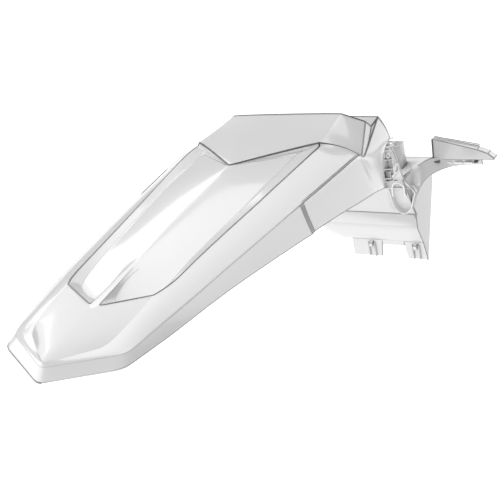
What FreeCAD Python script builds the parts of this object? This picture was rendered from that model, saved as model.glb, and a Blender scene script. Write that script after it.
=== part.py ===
import FreeCAD, Part
import Sketcher
import os
import re

Vector = FreeCAD.Vector

# A rear fender for an off-road motorcycle, moulded in one piece from white polypropylene.
# It is modelled along its own deck: X to the bike's right, Y forward, Z up.
# Lengths are first measured from the tail tip, and the finished moulding is then placed
# with the middle of its two front bolt holes at the origin.

doc = FreeCAD.newDocument("rear_fender")
sheet = doc.addObject("Spreadsheet::Sheet", "Dimensions")

# Driving dimensions, in millimetres.
DIMENSIONS = {
    "wall": 2.5,
    # Stations along the deck, from the tail tip forward.
    "bend_y": 36.0, "taper_y": 66.0, "recess_y": 104.0, "hip_y": 122.0, "middle_y": 215.0,
    "step_y": 285.0, "step_run": 8.0, "step_inset": 3.0, "plateau_y": 366.0, "crest_y": 424.0,
    "slot_y": 440.0, "slot_run": 12.0, "hump_y": 463.0, "nose_y": 476.0,
    # Height of the deck's centre line at those stations.
    "bend_crown": 1.3, "taper_crown": 2.4, "recess_crown": 2.4, "hip_crown": 1.8,
    "middle_crown": 0.7, "step_crown": 0.4, "plateau_crown": -3.5, "crest_crown": -10.0,
    "slot_crown": -38.0, "hump_crown": -35.0, "nose_crown": -50.0,
    # Upper crease: half width and height.
    "bend_rim": 52.0, "taper_rim": 61.0, "recess_rim": 62.0, "hip_rim": 67.0, "middle_rim": 75.0,
    "step_rim": 82.0, "plateau_rim": 88.0, "crest_rim": 78.0, "slot_rim": 93.0, "hump_rim": 90.0,
    "bend_rim_z": -3.2, "taper_rim_z": 1.5, "recess_rim_z": 2.5, "hip_rim_z": 0.5,
    "middle_rim_z": -2.0, "step_rim_z": -4.3, "plateau_rim_z": -6.5, "crest_rim_z": -11.0,
    # Lower crease, where the shoulder turns down into the side wall.
    "bend_edge": 80.0, "taper_edge": 87.0, "recess_edge": 93.5, "hip_edge": 97.0,
    "middle_edge": 109.5, "step_edge": 117.5, "plateau_edge": 125.0, "corner_edge": 119.0,
    "bend_edge_z": -6.0, "taper_edge_z": -6.3, "recess_edge_z": -7.5, "hip_edge_z": -8.4,
    "middle_edge_z": -13.8, "step_edge_z": -18.7, "plateau_edge_z": -26.0, "corner_edge_z": -35.0,
    "corner_y": 384.0,
    # Bottom edge of the side wall.
    "bend_skirt": 85.0, "taper_skirt": 90.0, "recess_skirt": 95.5, "hip_skirt": 98.5,
    "middle_skirt": 111.0, "step_skirt": 117.0, "plateau_skirt": 121.0,
    "bend_skirt_z": -11.5, "taper_skirt_z": -15.5, "recess_skirt_z": -22.0, "hip_skirt_z": -25.0,
    "middle_skirt_z": -41.0, "step_skirt_z": -57.0, "plateau_skirt_z": -78.0,
    # Tail wall: how far it leans out and how deep it is at the tip.
    "tail_lean": 13.6, "tail_depth": 12.2,
    # Shoulder: how far it bulges, and the neck under the lower crease.
    "shoulder_bulge": 1.2, "neck_share": 0.12, "sunk_neck_share": 0.06,
    # Corner where the shoulder runs out, and the front edge of the side wall.
    "front_top_half": 95.0, "front_top_y": 470.0, "front_top_z": -72.0,
    "front_foot_half": 98.0, "front_foot_y": 430.0, "front_foot_z": -111.0,
    # Sunk panel of the deck: rear point, floor, and the chevron where the plateau starts.
    "panel_tip_y": 78.0, "panel_tip_floor": -5.0, "panel_ramp_y": 162.0, "panel_ramp_floor": 0.4,
    "panel_rear_half": 52.0, "panel_hip_half": 57.0, "panel_ramp_half": 59.5,
    "panel_middle_half": 67.0, "panel_front_half": 66.0, "panel_middle_y": 260.0,
    "panel_front_y": 347.0, "chevron_y": 313.0, "panel_front_floor": -9.2,
    "panel_hip_floor": 0.4, "spine_top_half": 5.0, "spine_foot_half": 8.0,
    # Bulkhead and apron: fold lines of their profile, from the nose down.
    "nose_drop": 6.0, "apron_y": 500.0, "shelf_z": -150.0, "fold_drop": 50.0, "waist_drop": 14.0,
    "waist_set_back": 11.0, "foot_drop": 27.0, "foot_set_out": 4.0, "tab_drop": 21.0,
    "tab_set_back": 6.5,
    # Their outline from behind, down to the two tabs.
    "apron_head_half": 84.0, "head_rise": 32.0, "apron_half": 70.0, "neck_drop": 15.0,
    "apron_waist_half": 74.0, "apron_foot_half": 72.0, "apron_corner": 14.0, "tab_left": -35.0,
    "gap_left": 11.5, "gap_right": 43.0, "gap_height": 16.0, "gap_taper": 3.5,
    # Hooks on the tabs, each over a pair of guide ribs.
    "hook_width": 9.0, "hook_reach": 5.0, "hook_depth": 7.0, "left_hook": -4.5, "right_hook": 60.5,
    "guide_width": 1.5, "guide_height": 2.0,
    # U-shaped pockets by the apron's edges.
    "pocket_half": 55.0, "pocket_radius": 12.0, "pocket_top_drop": 10.0, "pocket_low_drop": 37.0,
    "pocket_sink": 6.0,
    # Shelf on top of the apron, and the gussets under it.
    "shelf_depth": 48.0, "shelf_half": 88.0, "shelf_waist_out": 25.0, "shelf_waist_half": 72.0,
    "shelf_root_inset": 8.0, "shelf_corner": 8.0, "gusset_out": 10.0, "gusset_drop": 36.0,
    "gusset_tip_drop": 29.0,
    # On the shelf, leaning forward: open boxes, and round bosses down the face of each arm.
    "box_half": 49.5, "box_width": 15.0, "box_out": 19.0, "box_length": 18.0, "box_top_length": 11.0,
    "box_height": 27.0, "box_lean": 14.0,
    "boss_half": 71.0, "boss_out": 16.0, "boss_drop": 21.0, "boss_radius": 8.0, "boss_length": 25.0,
    "boss_tilt": 34.0,
    # Arms: the flared skin from the apron's edge out to the wing.
    "arm_foot_drop": 42.0, "arm_waist_half": 76.0, "arm_waist_out": 10.0, "arm_waist_drop": 26.0,
    "arm_neck_half": 84.0, "arm_neck_out": 22.0, "arm_neck_drop": 14.0, "arm_root_half": 95.0,
    "arm_root_out": 36.0, "arm_root_drop": 12.0, "arm_tip_half": 150.0, "arm_tip_drop": 14.0,
    # Wings: upright plates at the ends of the shelf, leaning forward, with a flange on top.
    "wing_half": 168.0, "wing_height": 26.0, "wing_bend_half": 146.0, "wing_bend_height": 13.0,
    "wing_tip_height": 4.0, "wing_tilt": 24.0, "wing_flange": 8.0, "flange_wall": 2.0,
    # Webs that join the side walls to the bulkhead, and the clip columns on them.
    "web_top_out": 6.0, "web_top_rise": 56.0, "web_fold_out": 1.0, "web_fold_rise": 28.0,
    "web_foot_set_back": 45.0, "web_foot_rise": 22.0, "web_tie_height": 40.0, "web_lap": 4.0,
    "return_width": 15.0, "column_width": 9.0, "column_depth": 12.0, "column_slant": 0.7, "cell_count": 5.0,
    "cell_margin": 0.03,
    # Fixings.
    "bolt_radius": 3.2, "bolt_spacing": 60.0, "bolt_y": 524.0,
    "side_bolt_radius": 4.2, "side_bolt_y": 476.0, "side_bolt_z": -116.0,
}

# Dimensions that follow from the ones above.
FOLLOWING = {
    "shelf_y": "=apron_y + shelf_depth", "apron_fold_z": "=shelf_z - fold_drop",
    "apron_waist_y": "=apron_y - waist_set_back", "apron_waist_z": "=apron_fold_z - waist_drop",
    "apron_foot_y": "=apron_waist_y + foot_set_out", "apron_foot_z": "=apron_waist_z - foot_drop",
    "tab_y": "=apron_foot_y - tab_set_back", "tab_z": "=apron_foot_z - tab_drop",
    "apron_head_z": "=shelf_z + head_rise", "apron_neck_z": "=shelf_z - neck_drop",
    "gusset_y": "=shelf_y + gusset_out", "gusset_z": "=shelf_z - gusset_drop",
    "pocket_top_z": "=shelf_z - pocket_top_drop", "pocket_low_z": "=shelf_z - pocket_low_drop",
    "box_y": "=apron_y + box_out",
}
for row, (alias, value) in enumerate(list(DIMENSIONS.items()) + list(FOLLOWING.items()), 1):
    sheet.set("A%d" % row, alias)
    sheet.set("B%d" % row, str(value))
    sheet.setAlias("B%d" % row, alias)
doc.recompute()


def size(alias):
    """The value of one driving dimension."""
    return float(sheet.get(alias))


def between(a, b, share):
    """The point at this share of the way from a to b."""
    return a + (b - a) * share


def triangle(a, b, c):
    """A flat face on three corners, or none where two of them meet."""
    if min(a.distanceToPoint(b), b.distanceToPoint(c), c.distanceToPoint(a)) < 0.01:
        return None
    return Part.Face(Part.makePolygon([a, b, c, a]))


# Areas in square millimetres below which a patch is two flat triangles, on the deck and the arms.
SMALL_PATCH = 300.0
LARGE_PATCH = 3000.0


def patch(a, b, c, d, small=SMALL_PATCH):
    """The straight-sided face on four corners in order, or a triangle where two of them meet."""
    corners = []
    for corner in (a, b, c, d):
        if not corners or corner.distanceToPoint(corners[-1]) > 0.01:
            corners.append(corner)
    if len(corners) > 1 and corners[0].distanceToPoint(corners[-1]) < 0.01:
        corners.pop()
    if len(corners) < 3:
        return None
    if len(corners) == 3:
        return triangle(*corners)
    if (c - a).cross(d - b).Length < 2 * small:
        return Part.Shell([triangle(a, b, c), triangle(a, c, d)])
    surface = Part.BezierSurface()
    surface.setPole(1, 1, a)
    surface.setPole(2, 1, b)
    surface.setPole(2, 2, c)
    surface.setPole(1, 2, d)
    return surface.toShape()


def half_plug(sections):
    """The right half of a closed plug through sections that start and end on the centre plane."""
    faces = []
    for rear, front in zip(sections, sections[1:]):
        for i in range(len(rear) - 1):
            faces.append(patch(rear[i], front[i], front[i + 1], rear[i + 1]))
    for section in (sections[0], sections[-1]):
        if max(point.x for point in section) < 0.01:
            continue
        for i in range(len(section) - 2):
            faces.append(triangle(section[-1], section[i], section[i + 1]))
    outline = [section[0] for section in sections]
    outline += [section[-1] for section in reversed(sections)]
    outline += [point for point in reversed(sections[0][1:-1]) if point.x < 0.01]
    corners = []
    for point in outline + outline[:1]:
        if not corners or point.distanceToPoint(corners[-1]) > 0.01:
            corners.append(point)
    faces.append(Part.Face(Part.makePolygon(corners)))
    skin = Part.Shell([face for piece in faces if piece is not None for face in piece.Faces])
    skin.sewShape()
    solid = Part.Solid(skin)
    if solid.Volume < 0:
        solid.reverse()
    return solid


def plug(sections):
    """A whole plug: the right half and its mirror image, joined."""
    half = half_plug(sections)
    whole = half.fuse(half.mirror(Vector(0, 0, 0), Vector(1, 0, 0)))
    return whole.Solids[0]


def place_of(point):
    """A name for a place, the same for corners that meet there."""
    return (round(point.x, 2), round(point.y, 2), round(point.z, 2))


def corner_normals(sections, closed):
    """For each place in the sections, the outward normals of the skin around it."""
    normals = {}

    def note(ring, normal):
        if normal.Length < 0.01:
            return
        normal.normalize()
        for corner in ring:
            group = normals.setdefault(place_of(corner), [])
            group.append(normal)
            if corner.x < 0.01:
                group.append(Vector(-normal.x, normal.y, normal.z))

    strips = len(sections[0]) - (1 if closed else 2)
    for rear, front in zip(sections, sections[1:]):
        for i in range(strips):
            ring = [rear[i], front[i], front[i + 1], rear[i + 1]]
            note(ring, (ring[3] - ring[1]).cross(ring[2] - ring[0]))
    if closed:
        for ring, side in ((sections[0], -1), (sections[-1], 1)):
            note(ring, (ring[2] - ring[0]).cross(ring[3] - ring[1]) * side)
    return normals


def shift_behind(group, distance):
    """The shift that takes a corner this far behind every face around it."""
    rows = [[0.0] * 3 for _ in range(3)]
    pull = Vector(0, 0, 0)
    for normal in group:
        for i in range(3):
            for j in range(3):
                rows[i][j] += normal[i] * normal[j]
        pull -= normal * distance
    for i in range(3):
        rows[i][i] += 0.02
    matrix = FreeCAD.Matrix()
    matrix.A11, matrix.A12, matrix.A13 = rows[0]
    matrix.A21, matrix.A22, matrix.A23 = rows[1]
    matrix.A31, matrix.A32, matrix.A33 = rows[2]
    return matrix.inverse().multVec(pull)


def moved_sections(sections, distance, closed):
    """The same sections with every corner this far behind the skin."""
    normals = corner_normals(sections, closed)
    moved = []
    for section in sections:
        points = []
        for point in section:
            shifted = point + shift_behind(normals.get(place_of(point), []), distance)
            if point.x < 0.01:
                shifted.x = 0
            points.append(shifted)
        moved.append(points)
    return moved


# Skin of the deck and side walls. Each section runs from the centre line over the upper crease,
# the shoulder, the lower crease and the neck to the bottom edge, and back to the centre plane.
wall = size("wall")
REACH = 8.0


def deck_section(name, inset=0.0, forward=0.0, neck_share="neck_share"):
    """The section at one named station."""
    y = size(name + "_y") + forward
    rim = Vector(size(name + "_rim"), y, size(name + "_rim_z"))
    edge = Vector(size(name + "_edge"), y, size(name + "_edge_z"))
    skirt = Vector(size(name + "_skirt") - inset, y, size(name + "_skirt_z"))
    shoulder = between(rim, edge, 0.5) + Vector(0, 0, size("shoulder_bulge"))
    neck = between(edge, skirt, size(neck_share)) - Vector(inset, 0, 0)
    centre = Vector(0, y, size(name + "_crown"))
    return [centre, rim, shoulder, edge, neck, skirt, Vector(0, y, skirt.z)]


def lean_back(section, distance, neck_share):
    """Stands the foot of a section back, as the leaning tail wall does."""
    section[5] = section[5] - Vector(0, distance, 0)
    section[4] = between(section[3], section[5], neck_share)
    section[6] = Vector(0, section[5].y, section[5].z)


tip = Vector(0, 0, 0)
tip_edge = Vector(0, -2.6, -2.6)
tip_foot = Vector(0, -size("tail_lean"), -size("tail_depth"))
tip_neck = between(tip_edge, tip_foot, 0.4)
sections = [[tip, tip, between(tip, tip_edge, 0.5), tip_edge, tip_neck, tip_foot, tip_foot]]
for name in ("bend", "taper", "recess", "hip", "middle", "step"):
    sections.append(deck_section(name))
lean_back(sections[1], size("tail_lean") - 1.0, 0.4)
lean_back(sections[2], size("tail_lean") * 0.9, 0.3)

# Forward of the step the wall is sunk, so that the bike's side panel lies flush over it.
inset = size("step_inset")
stepped = deck_section("step", inset, size("step_run"), "sunk_neck_share")
plateau = deck_section("plateau", inset, 0.0, "sunk_neck_share")
share = size("step_run") / (size("plateau_y") - size("step_y"))
for i in (0, 1, 3):
    stepped[i] = between(sections[-1][i], plateau[i], share)
plateau[2] = plateau[1]
sections += [stepped, plateau]

# The nose: its side fans out forward from the corner where the shoulder runs out.
corner = Vector(size("corner_edge"), size("corner_y"), size("corner_edge_z"))
front_top = Vector(size("front_top_half"), size("front_top_y"), size("front_top_z"))
front_foot = Vector(size("front_foot_half"), size("front_foot_y"), size("front_foot_z"))


def nose_section(y, crown, rim, along_edge, along_foot):
    """A section of the nose, at these shares of the way along its side."""
    edge = between(corner, front_top, along_edge)
    foot = between(plateau[5], front_foot, along_foot)
    neck = between(edge, foot, size("neck_share"))
    return [Vector(0, y, crown), rim, between(rim, edge, 0.5), edge, neck, foot,
            Vector(0, foot.y, foot.z)]


crest_rim = Vector(size("crest_rim"), size("crest_y"), size("crest_rim_z"))
crest = nose_section(size("crest_y"), size("crest_crown"), crest_rim, 0.0, 0.12)
crest[2] = crest[3]
slot_y = size("slot_y")
slot_z = size("slot_crown")
slot_front_y = slot_y + size("slot_run")
hump_y = size("hump_y")
hump_z = size("hump_crown")
nose_y = size("nose_y")
nose_z = size("nose_crown")
slot_rear = Vector(size("slot_rim"), slot_y, slot_z + 6.0)
slot_front = Vector(size("slot_rim") - 2.0, slot_front_y, slot_z - 3.0)
hump_rim = Vector(size("hump_rim"), hump_y - 1.0, hump_z - 2.0)
nose_rim = Vector(size("hump_rim"), nose_y, nose_z - size("nose_drop"))
sections += [crest,
             nose_section(slot_y - 2.0, slot_z, slot_rear, 0.07, 0.24),
             nose_section(slot_front_y, slot_z - 3.0, slot_front, 0.15, 0.36),
             nose_section(hump_y, hump_z, hump_rim, 0.27, 0.5),
             nose_section(nose_y, nose_z, nose_rim, 1.0, 1.0)]
outer = plug(sections)

# The hollow side of the moulding lies one wall further in. It runs out below the bottom edge
# and through the open front.
hollow = moved_sections(sections, wall, False)
front_slope = (front_foot - front_top)
past_front = Vector(0, -front_slope.z, front_slope.y).normalize() * REACH
for section in hollow:
    down = section[5] - section[4]
    section[5] = section[5] + down.normalize() * REACH
    section[6] = Vector(0, section[5].y, section[5].z)
hollow[-1] = [point + past_front for point in hollow[-1]]
inner = plug(hollow)


# Sunk panel of the deck. Its rear is a chevron, its side walls have draft, and its floor rises
# to a soft ridge that meets the plateau in a second chevron.
def panel_section(floor_centre, floor_edge, rim, top_centre):
    """A section of the sunk panel, its side wall carried up past the rim."""
    top = floor_edge + (rim - floor_edge) * ((rim.z - floor_edge.z + 2.0) / (rim.z - floor_edge.z))
    return [top_centre, top, floor_edge, floor_centre]


def rim_at(y):
    """The place of the upper crease this far along the deck."""
    for rear, front in zip(sections, sections[1:]):
        if rear[1].y <= y <= front[1].y and front[1].y > rear[1].y:
            return between(rear[1], front[1], (y - rear[1].y) / (front[1].y - rear[1].y))
    return sections[-1][1]


PANEL_TOP = 8.0
tip_y = size("panel_tip_y")
recess_y = size("recess_y")
hip_y = size("hip_y")
ramp_y = size("panel_ramp_y")
low = size("panel_tip_floor")
high = size("panel_ramp_floor")
mid_y = size("panel_middle_y")
end_y = size("panel_front_y")
chevron_y = size("chevron_y")
panel = [
    panel_section(Vector(0, tip_y + 7.0, low), Vector(size("panel_rear_half"), recess_y + 6.0, low),
                  rim_at(recess_y), Vector(0, tip_y - 4.0, PANEL_TOP)),
    panel_section(Vector(0, hip_y, size("panel_hip_floor")),
                  Vector(size("panel_hip_half"), hip_y + 6.0, low + 0.8),
                  rim_at(hip_y), Vector(0, hip_y, PANEL_TOP)),
    panel_section(Vector(0, ramp_y, high), Vector(size("panel_ramp_half"), ramp_y, low + 1.8),
                  rim_at(ramp_y), Vector(0, ramp_y, PANEL_TOP)),
    panel_section(Vector(0, mid_y, high), Vector(size("panel_middle_half"), mid_y, low + 0.3),
                  rim_at(mid_y), Vector(0, mid_y, PANEL_TOP)),
    panel_section(Vector(0, chevron_y, -1.0), Vector(size("panel_front_half"), end_y,
                  size("panel_front_floor")), sections[8][1], Vector(0, chevron_y, PANEL_TOP)),
]


def spine(top_half, foot_half):
    """The spine that divides the rear of the sunk panel and tapers out forward."""
    rear = [Vector(0, tip_y - 8.0, PANEL_TOP - 2.0), Vector(top_half, tip_y - 5.0, PANEL_TOP - 2.0),
            Vector(foot_half, tip_y, low - 6.0), Vector(0, tip_y, low - 6.0)]
    front = [Vector(0, ramp_y, PANEL_TOP - 2.0), Vector(0.2, ramp_y, PANEL_TOP - 2.0),
             Vector(0.4, ramp_y, low - 6.0), Vector(0, ramp_y, low - 6.0)]
    return plug([rear, front])


top_half = size("spine_top_half")
foot_half = size("spine_foot_half")
sunk = plug(panel).cut(spine(top_half, foot_half))
sunk_under = plug(moved_sections(panel, -wall, True)).cut(spine(top_half - wall, foot_half - wall))
deck = outer.cut(sunk).cut(inner.cut(sunk_under))

skin = doc.addObject("Part::Feature", "skin")
skin.Shape = deck


def band(sections):
    """A solid through four-cornered sections, each joined to the next by straight lines."""
    faces = []
    for rear, front in zip(sections, sections[1:]):
        for i in range(4):
            faces.append(patch(rear[i], front[i], front[i - 3], rear[i - 3], LARGE_PATCH))
    for section in (sections[0], sections[-1]):
        faces.append(Part.Face(Part.makePolygon(section + section[:1])))
    shell = Part.Shell([face for piece in faces for face in piece.Faces])
    shell.sewShape()
    solid = Part.Solid(shell)
    if solid.Volume < 0:
        solid.reverse()
    return solid


# Arm: a skin that flares from the apron's upright edge to the foot of the wing. Each line across
# it runs from the shelf's edge down to the arm's lower edge.
shelf_z = size("shelf_z")
apron_y = size("apron_y")
shelf_y = size("shelf_y")


def arm_point(name):
    """A place on the arm's lower edge, measured from the fold where the apron meets the shelf."""
    return Vector(size(name + "_half"), apron_y + size(name + "_out"), shelf_z - size(name + "_drop"))


corner_step = size("shelf_corner")
arm_lines = [
    (Vector(size("apron_half") - size("shelf_root_inset"), apron_y, shelf_z),
     Vector(size("apron_half"), apron_y + wall, shelf_z - size("arm_foot_drop"))),
    (Vector(size("shelf_waist_half"), apron_y + size("shelf_waist_out"), shelf_z), arm_point("arm_waist")),
    (Vector(size("shelf_half") - corner_step, shelf_y - corner_step, shelf_z), arm_point("arm_neck")),
    (Vector(size("shelf_half"), shelf_y - 1.0, shelf_z - 1.0), arm_point("arm_root")),
    (Vector(size("arm_tip_half"), shelf_y - 1.0, shelf_z - wall),
     Vector(size("arm_tip_half"), shelf_y - 1.0, shelf_z - size("arm_tip_drop"))),
]
arm_depth = Vector(0, wall, -wall)
arm = doc.addObject("Part::Feature", "arm")
arm.Shape = band([[upper, lower, lower + arm_depth, upper + arm_depth] for upper, lower in arm_lines])


def formula(text):
    """A formula in the names of the dimensions, written as the document reads it."""
    return re.sub("[a-z][a-z_]+", lambda name: "Dimensions." + name.group(), text)


def tie(item, formulas):
    """Ties an object's own sizes and its place to the dimensions."""
    for name, text in formulas.items():
        item.setExpression(name, formula(text))


# Ways a sketch can stand: flat, seen from the right, or seen from behind.
FLAT = FreeCAD.Rotation()
SIDEWAYS = FreeCAD.Rotation(Vector(0, 1, 0), Vector(0, 0, 1), Vector(1, 0, 0), "ZXY")
ACROSS = FreeCAD.Rotation(Vector(1, 0, 0), Vector(0, 0, 1), Vector(0, -1, 0), "ZXY")


def outline(name, stance, place, corners):
    """A closed sketch through corners given as pairs of formulas."""
    sketch = doc.addObject("Sketcher::SketchObject", name)
    sketch.Placement = FreeCAD.Placement(Vector(0, 0, 0), stance)
    tie(sketch, {"Placement.Base." + axis: text for axis, text in place.items()})
    count = len(corners)
    spots = [Vector(i + 1.0, (i + 1.0) ** 2, 0) for i in range(count)]
    sketch.addGeometry([Part.LineSegment(spots[i - 1], spots[i]) for i in range(count)])
    rules = [Sketcher.Constraint("Coincident", i - 1 if i else count - 1, 2, i, 1) for i in range(count)]
    for i, spot in enumerate(spots):
        rules.append(Sketcher.Constraint("DistanceX", -1, 1, i, 2, spot.x))
        rules.append(Sketcher.Constraint("DistanceY", -1, 1, i, 2, spot.y))
    sketch.addConstraint(rules)
    for i, (across, along) in enumerate(corners):
        sketch.setExpression("Constraints[%d]" % (count + 2 * i), formula(across))
        sketch.setExpression("Constraints[%d]" % (count + 2 * i + 1), formula(along))
    return sketch


def plate(name, stance, place, corners, thickness):
    """A plate: a sketched outline given a thickness along the sketch's own normal."""
    solid = doc.addObject("Part::Extrusion", name)
    solid.Base = outline(name + "_outline", stance, place, corners)
    solid.DirMode = "Normal"
    solid.Solid = True
    tie(solid, {"LengthFwd": thickness})
    return solid


def block(name, x, y, z, length, width, height):
    """A rectangular block with its low corner at a place, all given as formulas."""
    solid = doc.addObject("Part::Box", name)
    tie(solid, {"Placement.Base.x": x, "Placement.Base.y": y, "Placement.Base.z": z,
                "Length": length, "Width": width, "Height": height})
    return solid


def rod(name, stance, x, y, z, radius, height):
    """A round bar that starts at a place, all given as formulas."""
    solid = doc.addObject("Part::Cylinder", name)
    solid.Placement = FreeCAD.Placement(Vector(0, 0, 0), stance)
    tie(solid, {"Placement.Base.x": x, "Placement.Base.y": y, "Placement.Base.z": z,
                "Radius": radius, "Height": height})
    return solid


def joined(name, pieces):
    """Several solids fused into one."""
    solid = doc.addObject("Part::MultiFuse", name)
    solid.Shapes = pieces
    return solid


def cut(name, base, tool):
    """A solid with another taken out of it."""
    solid = doc.addObject("Part::Cut", name)
    solid.Base = base
    solid.Tool = tool
    return solid


def mirrored(item):
    """The same solid on the other side of the bike."""
    twin = doc.addObject("Part::Mirroring", item.Name + "_left")
    twin.Source = item
    twin.Normal = Vector(1, 0, 0)
    return twin


# Bulkhead and apron: one folded sheet that closes the front of the wheel arch.
fold_line = [("nose_y - wall", "nose_crown"), ("apron_y", "shelf_z"), ("apron_y", "apron_fold_z"),
             ("apron_waist_y", "apron_waist_z"), ("apron_foot_y", "apron_foot_z"),
             ("tab_y", "tab_z")]
folded = plate("folded_sheet", SIDEWAYS, {"x": "-apron_head_half"},
               fold_line + [(y + " + wall", z) for y, z in reversed(fold_line)], "2 * apron_head_half")
seen_from_behind = plate("apron_shape", ACROSS, {"y": "apron_y + shelf_half"}, [
    ("-apron_head_half", "nose_crown - nose_drop"), ("0", "nose_crown"),
    ("apron_head_half", "nose_crown - nose_drop"), ("apron_head_half", "apron_head_z"),
    ("apron_half", "apron_neck_z"), ("apron_half", "apron_fold_z"), ("apron_waist_half", "apron_waist_z"),
    ("apron_foot_half", "apron_foot_z"), ("apron_foot_half + gap_taper", "tab_z"),
    ("gap_right + gap_taper", "tab_z"), ("gap_right", "tab_z + gap_height"),
    ("gap_left", "tab_z + gap_height"), ("gap_left - gap_taper", "tab_z"), ("tab_left", "tab_z"),
    ("tab_left", "apron_foot_z"), ("apron_corner - apron_foot_half", "apron_foot_z"),
    ("-apron_foot_half", "apron_foot_z + apron_corner"), ("-apron_waist_half", "apron_waist_z"),
    ("-apron_half", "apron_fold_z"),
    ("-apron_half", "apron_neck_z"), ("-apron_head_half", "apron_head_z")], "2 * shelf_half")
apron = doc.addObject("Part::Common", "apron")
apron.Base = folded
apron.Tool = seen_from_behind

# Pockets: closed U-shaped recesses, sunk forward into the apron.
recess_block = joined("recess_block", [
    block("recess_top", "pocket_half - pocket_radius - wall", "apron_y", "pocket_low_z",
          "2 * (pocket_radius + wall)", "pocket_sink + wall", "pocket_top_z - pocket_low_z + wall"),
    rod("recess_foot", ACROSS, "pocket_half", "apron_y + pocket_sink + wall", "pocket_low_z",
        "pocket_radius + wall", "pocket_sink + wall")])
recess_room = joined("recess_room", [
    block("room_top", "pocket_half - pocket_radius", "apron_y - wall", "pocket_low_z",
          "2 * pocket_radius", "pocket_sink + wall", "pocket_top_z - pocket_low_z"),
    rod("room_foot", ACROSS, "pocket_half", "apron_y + pocket_sink", "pocket_low_z",
        "pocket_radius", "pocket_sink + wall")])

# Shelf on top of the apron, with a gusset under each end.
shelf_edge = [("apron_half - shelf_root_inset", "apron_y"),
              ("shelf_waist_half", "apron_y + shelf_waist_out"),
              ("shelf_half - shelf_corner", "shelf_y - shelf_corner"), ("shelf_half", "shelf_y")]
shelf = plate("shelf", FLAT, {"z": "shelf_z - wall"},
              shelf_edge + [("-(" + x + ")", y) for x, y in reversed(shelf_edge)], "wall")
gusset_head = [("apron_y", "shelf_z"), ("shelf_y", "shelf_z"), ("gusset_y", "gusset_z")]
gusset_rear = [("apron_waist_y", "apron_waist_z"), ("apron_y", "apron_fold_z")]
gusset = plate("gusset", SIDEWAYS, {"x": "apron_half - wall"}, gusset_head + [
    ("apron_foot_y", "apron_foot_z - gusset_tip_drop"), ("apron_foot_y", "apron_foot_z")]
    + gusset_rear, "wall")
left_gusset = plate("left_gusset", SIDEWAYS, {"x": "-apron_half"}, gusset_head + [
    ("apron_foot_y + wall", "apron_foot_z + apron_corner")] + gusset_rear, "wall")

# On the shelf: an open box on each side, and a round boss down the face of each arm.
box_outside = plate("box_outside", SIDEWAYS, {"x": "box_half - box_width / 2"}, [
    ("box_y", "shelf_z - wall"), ("box_y + box_length", "shelf_z - wall"),
    ("box_y + box_lean + box_top_length", "shelf_z + box_height"),
    ("box_y + box_lean", "shelf_z + box_height")], "box_width")
box_inside = plate("box_inside", SIDEWAYS, {"x": "box_half - box_width / 2 + wall / 2"}, [
    ("box_y + wall", "shelf_z"), ("box_y + box_length - wall", "shelf_z"),
    ("box_y + box_lean + box_top_length - wall / 2", "shelf_z + box_height + wall / 2"),
    ("box_y + box_lean + wall", "shelf_z + box_height + wall / 2")], "box_width - wall")
open_box = cut("open_box", box_outside, box_inside)
boss = rod("boss", FreeCAD.Rotation(Vector(1, 0, 0), -size("boss_tilt")), "boss_half", "apron_y + boss_out",
           "shelf_z - boss_drop", "boss_radius", "boss_length")

# Wings: plates that lean forward, each with a flange along its upper edge.
leaning = FreeCAD.Rotation(Vector(1, 0, 0), 90.0 - size("wing_tilt"))
wing_place = {"y": "shelf_y + wall / 2", "z": "shelf_z - 2 * wall"}
wing = plate("wing", leaning, wing_place, [
    ("shelf_half - wall", "0"), ("wing_half", "0"), ("wing_half", "wing_tip_height"),
    ("wing_bend_half", "wing_bend_height"), ("shelf_half - wall", "wing_height")], "wall")
flange = plate("flange", leaning, wing_place, [
    ("wing_half", "0"), ("wing_half", "wing_tip_height"), ("wing_bend_half", "wing_bend_height"),
    ("shelf_half - wall", "wing_height"), ("shelf_half - wall", "wing_height - flange_wall"),
    ("wing_bend_half", "wing_bend_height - flange_wall")], "wing_flange")
flange.DirMode = "Custom"
flange.Dir = Vector(0, 1, 0)

# Webs join the side walls to the bulkhead: the wall's front edge returns inward to the web, which
# carries a column of cells for the side panel's clips.
web = plate("web", SIDEWAYS, {"x": "apron_head_half - wall"}, [
    ("nose_y - wall", "nose_crown - nose_drop"), ("apron_y + web_top_out", "shelf_z + web_top_rise"),
    ("apron_y + web_fold_out", "shelf_z + web_fold_rise"), ("apron_y + wall", "shelf_z"),
    ("apron_y - web_foot_set_back", "shelf_z + web_foot_rise"), ("front_foot_y", "front_foot_z"),
    ("front_top_y - wall", "front_top_z")], "wall")
web_tie = block("web_tie", "apron_half - web_lap", "apron_y", "shelf_z - wall",
                "apron_head_half - apron_half + web_lap", "wall", "web_tie_height")


def beside_edge(share, depth):
    """A place beside the side wall's front edge: a share of the way down it, and this far forward."""
    return ("front_top_y + (front_foot_y - front_top_y) * %s + (%s) * column_slant" % (share, depth),
            "front_top_z + (front_foot_z - front_top_z) * %s - (%s) * column_slant" % (share, depth))


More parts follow.
